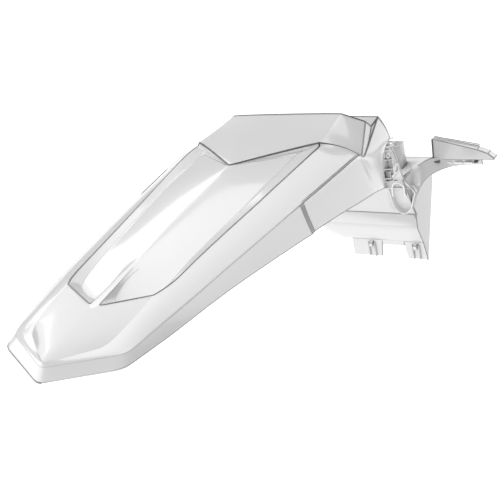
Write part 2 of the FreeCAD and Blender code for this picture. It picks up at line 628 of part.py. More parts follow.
front_return = plate("front_return", SIDEWAYS, {"x": "apron_head_half - wall"}, [
    beside_edge("0", "-wall"), beside_edge("1", "-wall"), beside_edge("1", "wall / 2"),
    beside_edge("0", "wall / 2")], "return_width")
column_body = plate("column_body", SIDEWAYS, {"x": "apron_head_half - wall"}, [
    beside_edge("0", "0"), beside_edge("1", "0"), beside_edge("1", "column_depth"),
    beside_edge("0", "column_depth")], "column_width")
cells = []
cell_count = int(size("cell_count"))
for i in range(cell_count):
    top = "(%d / cell_count + cell_margin)" % i
    low_end = "(%d / cell_count - cell_margin)" % (i + 1)
    cells.append(plate("cell_%d" % (i + 1), SIDEWAYS, {"x": "apron_head_half"}, [
        beside_edge(top, "wall / 2"), beside_edge(low_end, "wall / 2"),
        beside_edge(low_end, "column_depth - wall"), beside_edge(top, "column_depth - wall")],
        "column_width"))
column = cut("column", column_body, joined("cells", cells))

# Hooks on the tabs, each over two guide ribs that follow the tab down.
hooks = []
for name in ("left_hook", "right_hook"):
    hooks.append(block(name + "_lip", name + " - hook_width / 2", "apron_foot_y - hook_reach",
                       "apron_foot_z - hook_depth", "hook_width", "hook_reach", "hook_depth"))
    for edge, shift in (("left", "- hook_width / 2"), ("right", "+ hook_width / 2 - guide_width")):
        hooks.append(plate(name + "_guide_" + edge, SIDEWAYS, {"x": name + " " + shift}, [
            ("apron_foot_y + wall / 2", "apron_foot_z"), ("apron_foot_y - guide_height", "apron_foot_z"),
            ("tab_y - guide_height", "tab_z"), ("tab_y + wall / 2", "tab_z")], "guide_width"))

# The whole moulding, with its pockets and bolt holes, set down with the middle of the two front
# bolt holes at the origin.
right = [recess_block, arm, open_box, boss, wing, flange, web, web_tie, front_return, column]
body = joined("moulding", [skin, apron, shelf, gusset, left_gusset] + hooks + right
              + [mirrored(piece) for piece in right])
spaces = [recess_room, mirrored(recess_room),
          rod("side_bore", SIDEWAYS, "-wing_half", "side_bolt_y", "side_bolt_z", "side_bolt_radius",
              "2 * wing_half")]
for side, sign in (("left", "-"), ("right", "")):
    spaces.append(rod(side + "_bolt_hole", FLAT, sign + "bolt_spacing / 2", "bolt_y",
                      "shelf_z - 4 * wall", "bolt_radius", "8 * wall"))
for space in spaces[:-1]:
    body = cut(space.Name + "_cut", body, space)
fender = cut("rear_fender", body, spaces[-1])
fender.Label = "rear_fender"
tie(fender, {"Placement.Base.y": "-bolt_y", "Placement.Base.z": "-shelf_z"})
doc.recompute()

os.makedirs("parts", exist_ok=True)
for item in doc.Objects:
    if "Invalid" in item.State or "Error" in item.State:
        raise RuntimeError(item.Label + " failed")
if fender.Shape.isNull() or not fender.Shape.isValid() or len(fender.Shape.Solids) != 1:
    raise RuntimeError("the moulding is not one valid solid")
fender.Shape.exportStep("parts/rear_fender.step")
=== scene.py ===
import math

import bmesh
import bpy
from mathutils import Matrix, Vector


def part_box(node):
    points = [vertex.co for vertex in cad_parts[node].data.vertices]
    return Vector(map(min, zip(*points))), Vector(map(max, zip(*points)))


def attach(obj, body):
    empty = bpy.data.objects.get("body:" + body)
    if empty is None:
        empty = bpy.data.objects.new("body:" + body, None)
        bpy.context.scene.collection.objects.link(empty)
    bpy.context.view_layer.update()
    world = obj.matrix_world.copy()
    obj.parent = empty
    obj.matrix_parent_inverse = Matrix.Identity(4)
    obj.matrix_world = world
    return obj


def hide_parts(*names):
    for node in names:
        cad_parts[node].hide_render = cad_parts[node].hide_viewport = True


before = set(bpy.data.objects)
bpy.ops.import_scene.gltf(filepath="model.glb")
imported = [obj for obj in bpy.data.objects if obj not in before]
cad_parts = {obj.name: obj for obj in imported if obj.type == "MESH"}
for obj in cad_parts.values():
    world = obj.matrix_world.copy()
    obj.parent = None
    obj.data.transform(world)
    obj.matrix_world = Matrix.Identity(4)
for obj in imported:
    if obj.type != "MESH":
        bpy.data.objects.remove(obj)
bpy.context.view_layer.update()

# Deck and side walls: the long moulded skin over the wheel, white polypropylene out of a
# polished mould, 2.5 mm thick. It carries the sunk panel with its spine, the plateau, the
# slot and the nose, and its side walls are sunk forward of the step for the side panels.
WALL = 0.0025
TAIL_LEAN = 0.0136
SHELF_DROP = 0.150
low_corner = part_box("rear_fender")[0]
tail_y = low_corner[1] + TAIL_LEAN


def at(x, y, z):
    """A point given in millimetres from the tail tip, in the frame's metres."""
    return Vector((x / 1000, y / 1000 + tail_y, z / 1000 + SHELF_DROP))


def new_piece(name, mesh):
    """An object of its own from a finished bmesh."""
    data = bpy.data.meshes.new(name)
    mesh.to_mesh(data)
    mesh.free()
    piece = bpy.data.objects.new(name, data)
    bpy.context.collection.objects.link(piece)
    return piece


# Rows of the deck from the tail forward: each runs from the centre line over the spine's edge,
# the spine's foot, the middle of the floor and the floor's edge to the upper crease.
deck_rows = [
    [(0, 0, 0), (8, 5.6, -0.7), (16, 11, -1.2),
     (30, 20.6, -2.2), (43, 29.6, -2.9), (52, 36, -3.2)],
    [(0, 22, 1.0), (8, 26, 0.9), (16, 29, 0.6),
     (33, 37, 0.0), (48, 45, -1.0), (57.8, 51, -1.0)],
    [(0, 50, 1.6), (7, 53, 1.5), (16, 57, 1.4),
     (34, 65, 1.3), (51, 73, 1.2), (61.3, 78, 1.4)],
    [(0, 78, 1.9), (5.5, 80.4, 1.9), (12, 83.3, 1.85),
     (32, 92, 1.8), (52, 100.6, 1.75), (60.4, 104, 1.7)],
    [(0, 90, 1.9), (5.3, 89, 1.8), (8, 91, -5.8),
     (31, 98.5, -6.3), (51.5, 108, -6.0), (64.6, 112, 1.7)],
    [(0, 112, 1.8), (4.6, 112, 1.7), (7.4, 113, -1.2),
     (34, 118, -4.4), (57, 122, -5.5), (68.4, 126, 0.4)],
    [(0, 138, 1.4), (2.6, 138, 1.35), (6.4, 139, 0.4),
     (35, 142, -2.2), (58.3, 146, -3.8), (69.6, 149, 0.0)],
    [(0, 163, 0.6), (2.6, 163, 0.55), (8, 163.5, 0.4),
     (36, 165, -1.1), (59.5, 168, -3.2), (70.9, 170, -0.5)],
    [(0, 212, 0.6), (3.2, 212, 0.6), (10, 212, 0.5),
     (38, 212, -0.9), (63, 212, -3.8), (74.8, 212, -1.9)],
    [(0, 254, 0.7), (3.8, 254, 0.7), (12, 254, 0.5),
     (41, 255, -1.5), (66.6, 256, -4.6), (79.5, 256, -3.6)],
    [(0, 276, 0.7), (4, 277, 0.65), (12.5, 278, 0.4),
     (41.5, 281, -2.0), (67, 284, -5.4), (81.9, 285, -4.3)],
    [(0, 287, 0.6), (4.1, 288, 0.5), (12.8, 289.5, 0.2),
     (41.8, 293, -2.5), (67, 297, -6.0), (82.8, 293, -4.6)],
    [(0, 300, 0.4), (4.2, 301.5, 0.2), (13, 304.5, -0.4),
     (42, 315, -3.9), (66.8, 325, -7.6), (85.8, 322, -5.4)],
    [(0, 313, 0.1), (4.2, 315, -0.4), (13, 319.4, -1.6),
     (42, 334.5, -5.6), (66, 347, -9.2), (88, 351, -6.6)],
    [(0, 313.8, 0.1), (4.5, 316.2, -0.6), (14, 321.6, -2.0),
     (45, 340.5, -6.2), (70, 355.5, -8.9), (87, 363.5, -8.6)],
    [(0, 314.4, 0.3), (4.6, 317.2, 0.0), (14.2, 323.2, -0.7),
     (46, 343, -3.0), (72, 358.6, -4.9), (86, 366.5, -5.9)],
    [(0, 350, -2.2), (5, 351, -2.3), (15, 353, -2.6),
     (45, 362, -4.4), (69, 374, -6.4), (84.6, 380, -7.2)],
    [(0, 390, -6.0), (5, 390, -6.0), (15, 391, -6.1),
     (42, 394, -6.8), (65, 399, -8.0), (81.4, 402, -9.0)],
    [(0, 427, -8), (5, 427, -8), (15, 427, -8),
     (41, 427, -8.1), (63, 427, -8.4), (78, 427, -9.0)],
    [(0, 438, -27), (5, 438, -27), (16, 438, -27),
     (46, 438.5, -27), (72, 439, -27.3), (95, 440, -28)],
    [(0, 443, -38), (5, 443, -38), (16, 443, -38),
     (46, 443.5, -38), (72, 444.5, -38), (95, 446, -38)],
    [(0, 468, -38), (5, 468, -38), (16, 468, -38),
     (46, 468.3, -38.5), (68, 469, -39.5), (90, 470, -41)],
    [(0, 475, -46), (5, 475, -46), (16, 475, -46),
     (46, 475.3, -47), (68, 475.6, -50), (90, 476, -57)],
    [(0, 477, -56), (5, 477, -56), (16, 477, -56),
     (46, 477, -57.5), (68, 477, -61), (90, 477, -70)],
]

# The same rows carried on down the side: shoulder, lower crease, neck, middle of the wall, and
# bottom edge. Forward of the step the wall lies deeper under the crease.
side_rows = [
    [(67, 35, -3.8), (80, 35, -6), (81.5, 31, -7.8),
     (83.2, 27, -9.6), (85, 23, -11.5)],
    [(72, 49, -1.9), (83.2, 49, -6.1), (84.2, 46, -8.6),
     (85.8, 43, -11.0), (87.5, 39, -13.3)],
    [(75, 77, 0.0), (89, 77, -6.7), (89.6, 75, -10.3),
     (91, 73, -14.2), (93, 71, -18.2)],
    [(77.5, 104, -0.4), (94.4, 104, -7.7), (94.6, 103.4, -12.4),
     (95.4, 102.7, -17.2), (96.6, 102, -22.3)],
    [(80, 113, -1.4), (95.8, 113, -8.1), (96, 113, -13.4),
     (96.4, 113, -18.6), (97.6, 113, -23.8)],
    [(83.5, 126, -2.4), (97.7, 126, -8.6), (97.8, 126, -14.2),
     (98.2, 126, -20.0), (99.0, 126, -25.6)],
    [(86.4, 150, -3.3), (100.6, 150, -9.8), (100.6, 150, -15.2),
     (100.9, 150, -22.3), (101.5, 150, -29.4)],
    [(88.4, 172, -4.2), (103.4, 172, -11.2), (103.3, 172, -16.5),
     (103.4, 172, -24.9), (104, 172, -33.2)],
    [(93.4, 213, -6.3), (109.1, 213, -13.6), (109.0, 213, -18.5),
     (109.1, 213, -29.5), (110, 213, -40.5)],
    [(98.2, 256, -8.6), (114.2, 256, -16.4), (114.1, 256, -20.4),
     (114.1, 256, -35.2), (114.3, 256, -49.8)],
    [(99.8, 275, -9.6), (115.9, 272.5, -17.7), (115.8, 272.3, -20.8),
     (115.7, 272.2, -37.2), (115.7, 272.8, -54)],
    [(100.9, 283, -10.2), (117.0, 280.6, -18.5), (113.8, 280.6, -20.6),
     (113.0, 280.8, -38.6), (112.8, 281.5, -56.6)],
    [(104.8, 322, -12.4), (121.4, 322, -21.9), (117.8, 322, -23.7),
     (116.6, 322, -45), (115.4, 322, -66)],
    [(106.6, 351, -14.5), (123.6, 351, -24.4), (120.0, 351, -26.2),
     (118.6, 351, -50), (117.4, 351, -74.2)],
    [(104.0, 374, -18.6), (124.4, 374, -27), (120.6, 373.5, -29.2),
     (118.2, 376, -56), (116.2, 378, -83)],
    [(101.5, 381, -19.8), (119.9, 383, -33.6), (118.2, 382.5, -37),
     (116.0, 384, -60), (114.2, 389, -87.2)],
    [(101.0, 388, -21.2), (119.7, 383.4, -34), (117.8, 383.8, -37.8),
     (115.2, 386, -61.5), (113.2, 392, -88.6)],
    [(100.2, 397, -22.7), (119.5, 383.7, -34.4), (117.4, 385, -38.6),
     (114.4, 388.2, -63), (112.2, 395, -90.2)],
    [(99.6, 406, -24.0), (119.2, 384, -34.8), (117.0, 386.2, -39.2),
     (113.6, 390.6, -64.5), (111.2, 398, -91.6)],
    [(107, 412, -31.5), (119, 384.4, -35.2), (116.6, 387.6, -40),
     (112.8, 393, -66), (110, 401, -93)],
    [(107, 419, -39.8), (118.4, 388, -38.6), (115.8, 390.6, -43.4),
     (111.6, 397.5, -68.5), (108.4, 405.5, -95.8)],
    [(104, 430, -40), (117.6, 391.5, -39.6), (114.4, 395, -45.6),
     (110, 403.5, -71.5), (106.4, 412, -99.2)],
    [(100.5, 450, -56), (108.6, 424, -58.5), (106.8, 421.5, -68),
     (104.2, 420.5, -86), (102.2, 422.5, -105)],
    [(93, 473, -73), (94.5, 459, -73), (95.5, 446.5, -80),
     (97, 435.5, -92.6), (98, 427.3, -108.1)],
]

# Below the tail's upper crease, for the columns between the centre and the bend.
tail_columns = [
    [(0, -1.4, -1.2), (0, -2.6, -2.6), (0, -6.2, -5.8),
     (0, -9.9, -9.0), (0, -13.6, -12.2)],
    [(9, 3.4, -1.9), (11, 2.6, -3.1), (11.3, -1.2, -6.1),
     (11.7, -4.9, -9.1), (12, -8.4, -12.1)],
    [(18.5, 8.3, -2.2), (22, 7.8, -3.6), (22.5, 4.0, -6.4),
     (23.1, 0.3, -9.3), (24, -3.3, -12.0)],
    [(36, 17.2, -2.9), (44, 17.9, -4.6), (44.9, 14.0, -7.1),
     (46, 10.2, -9.5), (47, 6.6, -11.8)],
    [(52.5, 26.6, -3.5), (64, 27.2, -5.4), (65.3, 23.3, -7.5),
     (66.6, 19.4, -9.6), (68, 15.4, -11.6)],
]

# Columns of the rows, from the centre line outwards and down, and then the rows themselves,
# from the tail forward. The tail's own skirt counts its depths from the deck down.
SPINE_TOP, SPINE_FOOT, FLOOR_EDGE, CREASE, EDGE, NECK, FOOT = 1, 2, 4, 5, 7, 8, 10
TAIL, LIP, PANEL, SPINE_MIDDLE, STEP, CHEVRON, CHEVRON_TOP, PLATEAU = 0, 3, 4, 6, 10, 13, 14, 15
BROW, BROW_FOOT, LEDGE, LEDGE_END, NOSE = 18, 19, 20, 21, 23
TAIL_EDGE, TAIL_FOOT = 2, 5
# Materials of the skin by number: the step's face in painted shade, and the top of the tail in a
# greyer white, a painted reflection.
STEP_FACE, TAIL_TOP = 1, 2

# Creases along the deck: column, first and last row, shade of the line, and whether it is drawn.
long_creases = [
    (CREASE, TAIL, LIP, 0.0, False), (CREASE, LIP, CHEVRON, 0.8, True),
    (CREASE, CHEVRON, PLATEAU, 0.95, True), (CREASE, PLATEAU, BROW, 0.3, False),
    (CREASE, BROW, NOSE, 0.9, True), (EDGE, TAIL, STEP, 0.25, True),
    (EDGE, STEP, LEDGE_END, 0.69, True), (FLOOR_EDGE, PANEL, CHEVRON_TOP, 0.25, True),
    (SPINE_TOP, LIP, SPINE_MIDDLE, 0.3, True), (SPINE_FOOT, PANEL, SPINE_MIDDLE, 0.2, True),
    (FOOT, TAIL, NOSE, 0.5, True), (NECK, STEP, LEDGE_END, 0.0, False),
]

# Creases across it: row, first and last column, shade, and whether it is drawn.
cross_creases = [
    (TAIL, 0, CREASE, 0.0, False), (LIP, SPINE_TOP, CREASE, 0.85, True),
    (PANEL, SPINE_FOOT, FLOOR_EDGE, 0.2, True), (CHEVRON, 0, FLOOR_EDGE, 0.5, True),
    (CHEVRON_TOP, 0, EDGE, 0.6, False), (PLATEAU, 0, EDGE, 0.95, True),
    (BROW, 0, CREASE, 0.95, True), (BROW_FOOT, 0, EDGE, 0.8, True),
    (LEDGE, 0, EDGE, 0.8, True), (LEDGE_END, 0, EDGE, 0.8, True), (NOSE, 0, FOOT, 0.6, True),
    (STEP, EDGE, FOOT, 0.6, True), (STEP + 1, EDGE, FOOT, 0.6, True),
]
TAIL_EDGE_SHADE = 0.25
TAIL_FOOT_SHADE = {1: 0.3, -1: 0.8}


def deck_cage():
    """The coarse mesh of the skin's outer side, with its creases and their lines marked."""
    mesh = bmesh.new()
    sharp = mesh.edges.layers.float.new("crease_edge")
    drawn_line = mesh.edges.layers.float.new("bevel_weight_edge")
    line_shade = mesh.verts.layers.float.new("line_shade")
    points = {}

    def put(side, row, column, place):
        """A point of the cage, which both sides share on the centre line."""
        key = (side if place[0] else 0, row, column)
        if key not in points:
            points[key] = mesh.verts.new(at(side * place[0], place[1], place[2]))
        return points[key]

    def crease(a, b, shade, drawn=True):
        """Makes an edge sharp, and marks whether a line follows it, and how dark."""
        edge = mesh.edges.get((a, b))
        edge[sharp] = 1.0
        edge[drawn_line] = 1.0 if drawn else 0.0
        for end in (a, b):
            end[line_shade] = max(end[line_shade], shade)

    for side in (1, -1):
        grid = [[put(side, row, column, place) for column, place in enumerate(top + flank)]
                for row, (top, flank) in enumerate(zip(deck_rows, side_rows))]
        skirts = [[put(side, "tail %d" % column, depth, place)
                   for depth, place in enumerate(places)]
                  for column, places in enumerate(tail_columns)]
        tails = [[grid[TAIL][column]] + skirts[column] for column in range(CREASE)]
        tails.append(grid[TAIL][CREASE:])

        def face(*corners):
            """A face of the skin, turned to look outwards."""
            return mesh.faces.new(corners if side > 0 else reversed(corners))

        for row, (behind, ahead) in enumerate(zip(grid, grid[1:])):
            for column in range(len(behind) - 1):
                skin = face(behind[column], behind[column + 1],
                            ahead[column + 1], ahead[column])
                if row == STEP and column >= EDGE:
                    skin.material_index = STEP_FACE
                elif row < LIP and column < CREASE:
                    skin.material_index = TAIL_TOP
        for inner, outer in zip(tails, tails[1:]):
            for depth in range(len(inner) - 1):
                face(inner[depth], inner[depth + 1], outer[depth + 1], outer[depth])
        for column, first, last, shade, drawn in long_creases:
            for row in range(first, last):
                crease(grid[row][column], grid[row + 1][column], shade, drawn)
        for row, first, last, shade, drawn in cross_creases:
            for column in range(first, last):
                crease(grid[row][column], grid[row][column + 1], shade, drawn)
        for inner, outer in zip(tails, tails[1:]):
            crease(inner[TAIL_EDGE], outer[TAIL_EDGE], TAIL_EDGE_SHADE)
            crease(inner[TAIL_FOOT], outer[TAIL_FOOT], TAIL_FOOT_SHADE[side])
    return mesh


deck = new_piece("deck", deck_cage())
smooth = deck.modifiers.new("curves", "SUBSURF")
smooth.levels = smooth.render_levels = 3
thick = deck.modifiers.new("wall", "SOLIDIFY")
thick.thickness = WALL
thick.offset = -1
thick.use_even_offset = True
# The inner side is plain plastic throughout.
thick.material_offset = -TAIL_TOP

# Mould grain and painted shade, which every material here shares: a fine grain over the surface,
# as a polished mould leaves it, and a colour mixed towards painted shade in tight corners and
# along drawn lines.
GRAIN_DETAIL, GRAIN_STRENGTH, GRAIN_HEIGHT = 3.0, 0.05, 0.0002
CORNER_REACH, CORNER_SAMPLES = 0.0035, 8
CLOSED_CORNER, OPEN_SKIN, CORNER_SHADE = 0.25, 0.75, 0.55
# The colour mix's sockets by number, because several kinds of them share a name.
MIX_COLOUR, MIX_SHADE, MIX_RESULT = 6, 7, 2
grain_and_shade = bpy.data.node_groups.new("grain_and_painted_shade", "ShaderNodeTree")
for label, kind, direction in (
        ("Colour", "NodeSocketColor", "INPUT"), ("Shade", "NodeSocketColor", "INPUT"),
        ("Line", "NodeSocketFloat", "INPUT"), ("Grain", "NodeSocketFloat", "INPUT"),
        ("Colour", "NodeSocketColor", "OUTPUT"), ("Normal", "NodeSocketVector", "OUTPUT")):
    grain_and_shade.interface.new_socket(label, in_out=direction, socket_type=kind)
taken, given = grain_and_shade.nodes.new("NodeGroupInput"), grain_and_shade.nodes.new("NodeGroupOutput")
coordinates = grain_and_shade.nodes.new("ShaderNodeTexCoord")
grain = grain_and_shade.nodes.new("ShaderNodeTexNoise")
grain.inputs["Detail"].default_value = GRAIN_DETAIL
relief = grain_and_shade.nodes.new("ShaderNodeBump")
relief.inputs["Strength"].default_value = GRAIN_STRENGTH
relief.inputs["Distance"].default_value = GRAIN_HEIGHT
# Painted shade in tight corners, from how closely other surfaces stand round each point.
corner = grain_and_shade.nodes.new("ShaderNodeAmbientOcclusion")
corner.samples = CORNER_SAMPLES
corner.inputs["Distance"].default_value = CORNER_REACH
depth = grain_and_shade.nodes.new("ShaderNodeMapRange")
for label, value in (("From Min", CLOSED_CORNER), ("From Max", OPEN_SKIN),
                     ("To Min", CORNER_SHADE), ("To Max", 0.0)):
    depth.inputs[label].default_value = value
darkest = grain_and_shade.nodes.new("ShaderNodeMath")
darkest.operation = "MAXIMUM"
blend = grain_and_shade.nodes.new("ShaderNodeMix")
blend.data_type = "RGBA"
for start, end in (
        (coordinates.outputs["Object"], grain.inputs["Vector"]),
        (taken.outputs["Grain"], grain.inputs["Scale"]),
        (grain.outputs["Fac"], relief.inputs["Height"]),
        (corner.outputs["AO"], depth.inputs["Value"]),
        (depth.outputs["Result"], darkest.inputs[0]),
        (taken.outputs["Line"], darkest.inputs[1]),
        (darkest.outputs[0], blend.inputs["Factor"]),
        (taken.outputs["Colour"], blend.inputs[MIX_COLOUR]),
        (taken.outputs["Shade"], blend.inputs[MIX_SHADE]),
        (blend.outputs[MIX_RESULT], given.inputs["Colour"]),
        (relief.outputs["Normal"], given.inputs["Normal"])):
    grain_and_shade.links.new(start, end)

# The painted shade's colour, which corners and drawn lines are mixed towards.
PAINTED_SHADE_COLOUR = (0.03, 0.03, 0.03, 1.0)
MOULD_GRAIN, COARSE_GRAIN = 900.0, 1400.0


def moulded_plastic(name, colour, grain_scale=MOULD_GRAIN, line=0.0, lined_by=None):
    """White polypropylene: a satin gloss with a faint mould grain, and painted shade in tight
    corners.
    """
    material = bpy.data.materials.new(name)
    material.use_nodes = True
    nodes = material.node_tree.nodes
    links = material.node_tree.links
    shader = nodes["Principled BSDF"]
    for label, value in (("Roughness", 0.26), ("IOR", 1.5), ("Coat Weight", 0.7),
                         ("Coat Roughness", 0.08), ("Coat IOR", 1.6)):
        shader.inputs[label].default_value = value
    surface = nodes.new("ShaderNodeGroup")
    surface.node_tree = grain_and_shade
    surface.inputs["Colour"].default_value = (colour, colour, colour, 1.0)
    surface.inputs["Shade"].default_value = PAINTED_SHADE_COLOUR
    # Line mixes painted shade over the whole surface; with lined_by, the named attribute sets it
    # instead.
    surface.inputs["Line"].default_value = line
    surface.inputs["Grain"].default_value = grain_scale
    if lined_by:
        marked = nodes.new("ShaderNodeAttribute")
        marked.attribute_name = lined_by
        links.new(marked.outputs["Fac"], surface.inputs["Line"])
    links.new(surface.outputs["Colour"], shader.inputs["Base Color"])
    links.new(surface.outputs["Normal"], shader.inputs["Normal"])
    return material


# The skin, the matt inner sheets, the creases' beads in painted line shade, the plates' edges in
# painted edge shade, small raised details in a lighter white as a painted highlight, recesses and
# dark strips in painted shade, and the top of the tail in a greyer white as a painted reflection.
polished_white = moulded_plastic("polished_white", 0.70)
matt_white = moulded_plastic("matt_white", 0.64, COARSE_GRAIN)
painted_line_shade = moulded_plastic("painted_line_shade", 0.66, lined_by="line_shade")
painted_edge_shade = moulded_plastic("painted_edge_shade", 0.60, line=0.62)
highlight_white = moulded_plastic("highlight_white", 0.86)
deep_shade = moulded_plastic("deep_shade", 0.5, line=0.95)
tail_reflection_grey = moulded_plastic("tail_reflection_grey", 0.55)


def moulded_in(piece, *materials):
    """Gives a piece its plastic, smooth shading, and its place on the fender."""
    for material in materials:
        if material.name not in piece.data.materials:
            piece.data.materials.append(material)
    for polygon in piece.data.polygons:
        polygon.use_smooth = True
    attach(piece, "root")
    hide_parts("rear_fender")


moulded_in(deck, polished_white, deep_shade, tail_reflection_grey)

# Edge beads: thin round beads along the skin's drawn creases, coloured as painted shade lines
# that are darker where the crease's shade is higher. A node group draws them along the deck's own
# creases, sunk into the skin.
BEAD_SIDES = 8
FINE_BEAD, STRONG_BEAD = 0.00055, 0.0012
# Shades between which a crease gets the fine bead, and up to which it gets the strong one.
FAINTEST, STRONG_FROM, NO_LIMIT = 0.15, 0.7, 2.0
SUNK_SHARE = 0.6
DRAWN_FROM = 0.5
bead_group = bpy.data.node_groups.new("shade_line_beads", "GeometryNodeTree")
bead_group.interface.new_socket("Geometry", in_out="INPUT", socket_type="NodeSocketGeometry")
bead_inputs = {
    label: bead_group.interface.new_socket(label, in_out="INPUT", socket_type=kind).identifier
    for label, kind in (("Least shade", "NodeSocketFloat"), ("Most shade", "NodeSocketFloat"),
                        ("Radius", "NodeSocketFloat"), ("Sunk", "NodeSocketFloat"),
                        ("Plastic", "NodeSocketMaterial"))}
bead_group.interface.new_socket("Geometry", in_out="OUTPUT", socket_type="NodeSocketGeometry")
bead_in, bead_out, drawn_here, shade_here = [bead_group.nodes.new(kind) for kind in (
    "NodeGroupInput", "NodeGroupOutput", "GeometryNodeInputNamedAttribute",
    "GeometryNodeInputNamedAttribute")]
drawn_here.data_type = shade_here.data_type = "FLOAT"
drawn_here.inputs["Name"].default_value = "bevel_weight_edge"
shade_here.inputs["Name"].default_value = "line_shade"
is_drawn, over, under, in_range, chosen = [bead_group.nodes.new(kind) for kind in (
    "FunctionNodeCompare", "FunctionNodeCompare", "FunctionNodeCompare",
    "FunctionNodeBooleanMath", "FunctionNodeBooleanMath")]
is_drawn.operation = over.operation = "GREATER_THAN"
under.operation = "LESS_EQUAL"
is_drawn.inputs["B"].default_value = DRAWN_FROM
outward, inward, sink, to_line, section, draw, real_bead, bead_paint = [
    bead_group.nodes.new(kind) for kind in (
        "GeometryNodeInputNormal", "ShaderNodeVectorMath", "GeometryNodeSetPosition",
        "GeometryNodeMeshToCurve", "GeometryNodeCurvePrimitiveCircle",
        "GeometryNodeCurveToMesh", "GeometryNodeRealizeInstances", "GeometryNodeSetMaterial")]
inward.operation = "SCALE"
section.inputs["Resolution"].default_value = BEAD_SIDES
draw.inputs["Fill Caps"].default_value = True
for start, end in (
        (bead_in.outputs["Geometry"], sink.inputs["Geometry"]),
        (outward.outputs[0], inward.inputs[0]),
        (bead_in.outputs["Sunk"], inward.inputs["Scale"]),
        (inward.outputs[0], sink.inputs["Offset"]),
        (sink.outputs[0], to_line.inputs["Mesh"]),
        (drawn_here.outputs[0], is_drawn.inputs["A"]),
        (shade_here.outputs[0], over.inputs["A"]),
        (bead_in.outputs["Least shade"], over.inputs["B"]),
        (shade_here.outputs[0], under.inputs["A"]),
        (bead_in.outputs["Most shade"], under.inputs["B"]),
        (over.outputs[0], in_range.inputs[0]),
        (under.outputs[0], in_range.inputs[1]),
        (in_range.outputs[0], chosen.inputs[0]),
        (is_drawn.outputs[0], chosen.inputs[1]),
        (chosen.outputs[0], to_line.inputs["Selection"]),
        (bead_in.outputs["Radius"], section.inputs["Radius"]),
        (to_line.outputs[0], draw.inputs["Curve"]),
        (section.outputs[0], draw.inputs["Profile Curve"]),
        (draw.outputs[0], real_bead.inputs["Geometry"]),
        (real_bead.outputs[0], bead_paint.inputs["Geometry"]),
        (bead_in.outputs["Plastic"], bead_paint.inputs["Material"]),
        (bead_paint.outputs[0], bead_out.inputs[0])):
    bead_group.links.new(start, end)


def finished_mesh(piece):
    """The piece's mesh with its modifiers carried out."""
    graph = bpy.context.evaluated_depsgraph_get()
    return bpy.data.meshes.new_from_object(piece.evaluated_get(graph))


def make_plain(piece):
    """Turns a piece and its modifiers into a plain mesh."""
    mesh = finished_mesh(piece)
    piece.modifiers.clear()
    piece.data = mesh


thick.show_viewport = False
outer_skin = finished_mesh(deck)
thick.show_viewport = True
for name, least, most, radius in (("fine_shade_lines", FAINTEST, STRONG_FROM, FINE_BEAD),
                                  ("strong_shade_lines", STRONG_FROM, NO_LIMIT, STRONG_BEAD)):
    beads = bpy.data.objects.new(name, outer_skin.copy())
    bpy.context.collection.objects.link(beads)
    drawing = beads.modifiers.new("beads", "NODES")
    drawing.node_group = bead_group
    for label, value in (("Least shade", least), ("Most shade", most), ("Radius", radius),
                         ("Sunk", -SUNK_SHARE * radius), ("Plastic", painted_line_shade)):
        drawing[bead_inputs[label]] = value
    beads.update_tag()
    make_plain(beads)
    moulded_in(beads, painted_line_shade)

# Bulkhead and apron: one folded sheet that closes the front of the wheel arch, with a ridge
# along its fold and two U-shaped pockets sunk into it. It is moulded with the deck.
SIDES = ((1, "right"), (-1, "left"))
NECK_HALF, WAIST_HALF, FOOT_HALF = 70, 74, 72
# Each row across the sheet: y, z, and its left and right ends.
apron_rows = [
    (470.5, -50, -84, 84), (482.6, -88, -82, 82), (491.5, -118, -77, 77),
    (500, -150, -70.5, 70.5), (500, -163, -79, 79), (500, -171, -81.5, 81.5),
    (500, -178, -76.5, 76.5), (500, -186, -72.5, 72.5), (500, -193, -NECK_HALF, NECK_HALF),
    (500, -202.0, -NECK_HALF, NECK_HALF), (501.2, -203.0, -NECK_HALF, NECK_HALF),
    (500.2, -204.0, -NECK_HALF, NECK_HALF), (489.9, -213.2, -WAIST_HALF, WAIST_HALF),
    (489, -215.6, -WAIST_HALF, WAIST_HALF), (490, -222, -72.5, 73.4), (491.2, -230, -67, 72.8),
    (492.4, -236.5, -59, 72.3), (493, -241, -47, FOOT_HALF),
]
COLUMNS = 12
SLOPE_ROW = 11
SHEET_MATT = 2
EDGE_ANGLE = math.radians(32)
apron_mesh = bmesh.new()
grid = [[apron_mesh.verts.new(at(left + (right - left) * i / COLUMNS, y, z))
         for i in range(COLUMNS + 1)] for y, z, left, right in apron_rows]
for row, (upper, lower) in enumerate(zip(grid, grid[1:])):
    for i in range(COLUMNS):
        band = apron_mesh.faces.new((lower[i], lower[i + 1], upper[i + 1], upper[i]))
        band.material_index = 0 if row == SLOPE_ROW else SHEET_MATT


def thin_wall(piece, radius):
    """Thickens an open sheet forward, and rounds its edges, which take the second material, a
    painted edge shade.
    """
    sheet = piece.modifiers.new("wall", "SOLIDIFY")
    sheet.thickness = WALL
    sheet.offset = -1
    sheet.use_even_offset = True
    edges = piece.modifiers.new("edges", "BEVEL")
    edges.limit_method = "ANGLE"
    edges.angle_limit = EDGE_ANGLE
    edges.width = radius / 1000
    edges.segments = 3
    edges.harden_normals = True
    edges.material = 1


def cut_away(piece, cutter):
    """Cuts the cutter's shape out of a piece, and leaves the piece a plain mesh."""
    opening = piece.modifiers.new("opening", "BOOLEAN")
    opening.object = cutter
    opening.solver = "EXACT"
    make_plain(piece)
    bpy.data.objects.remove(cutter)


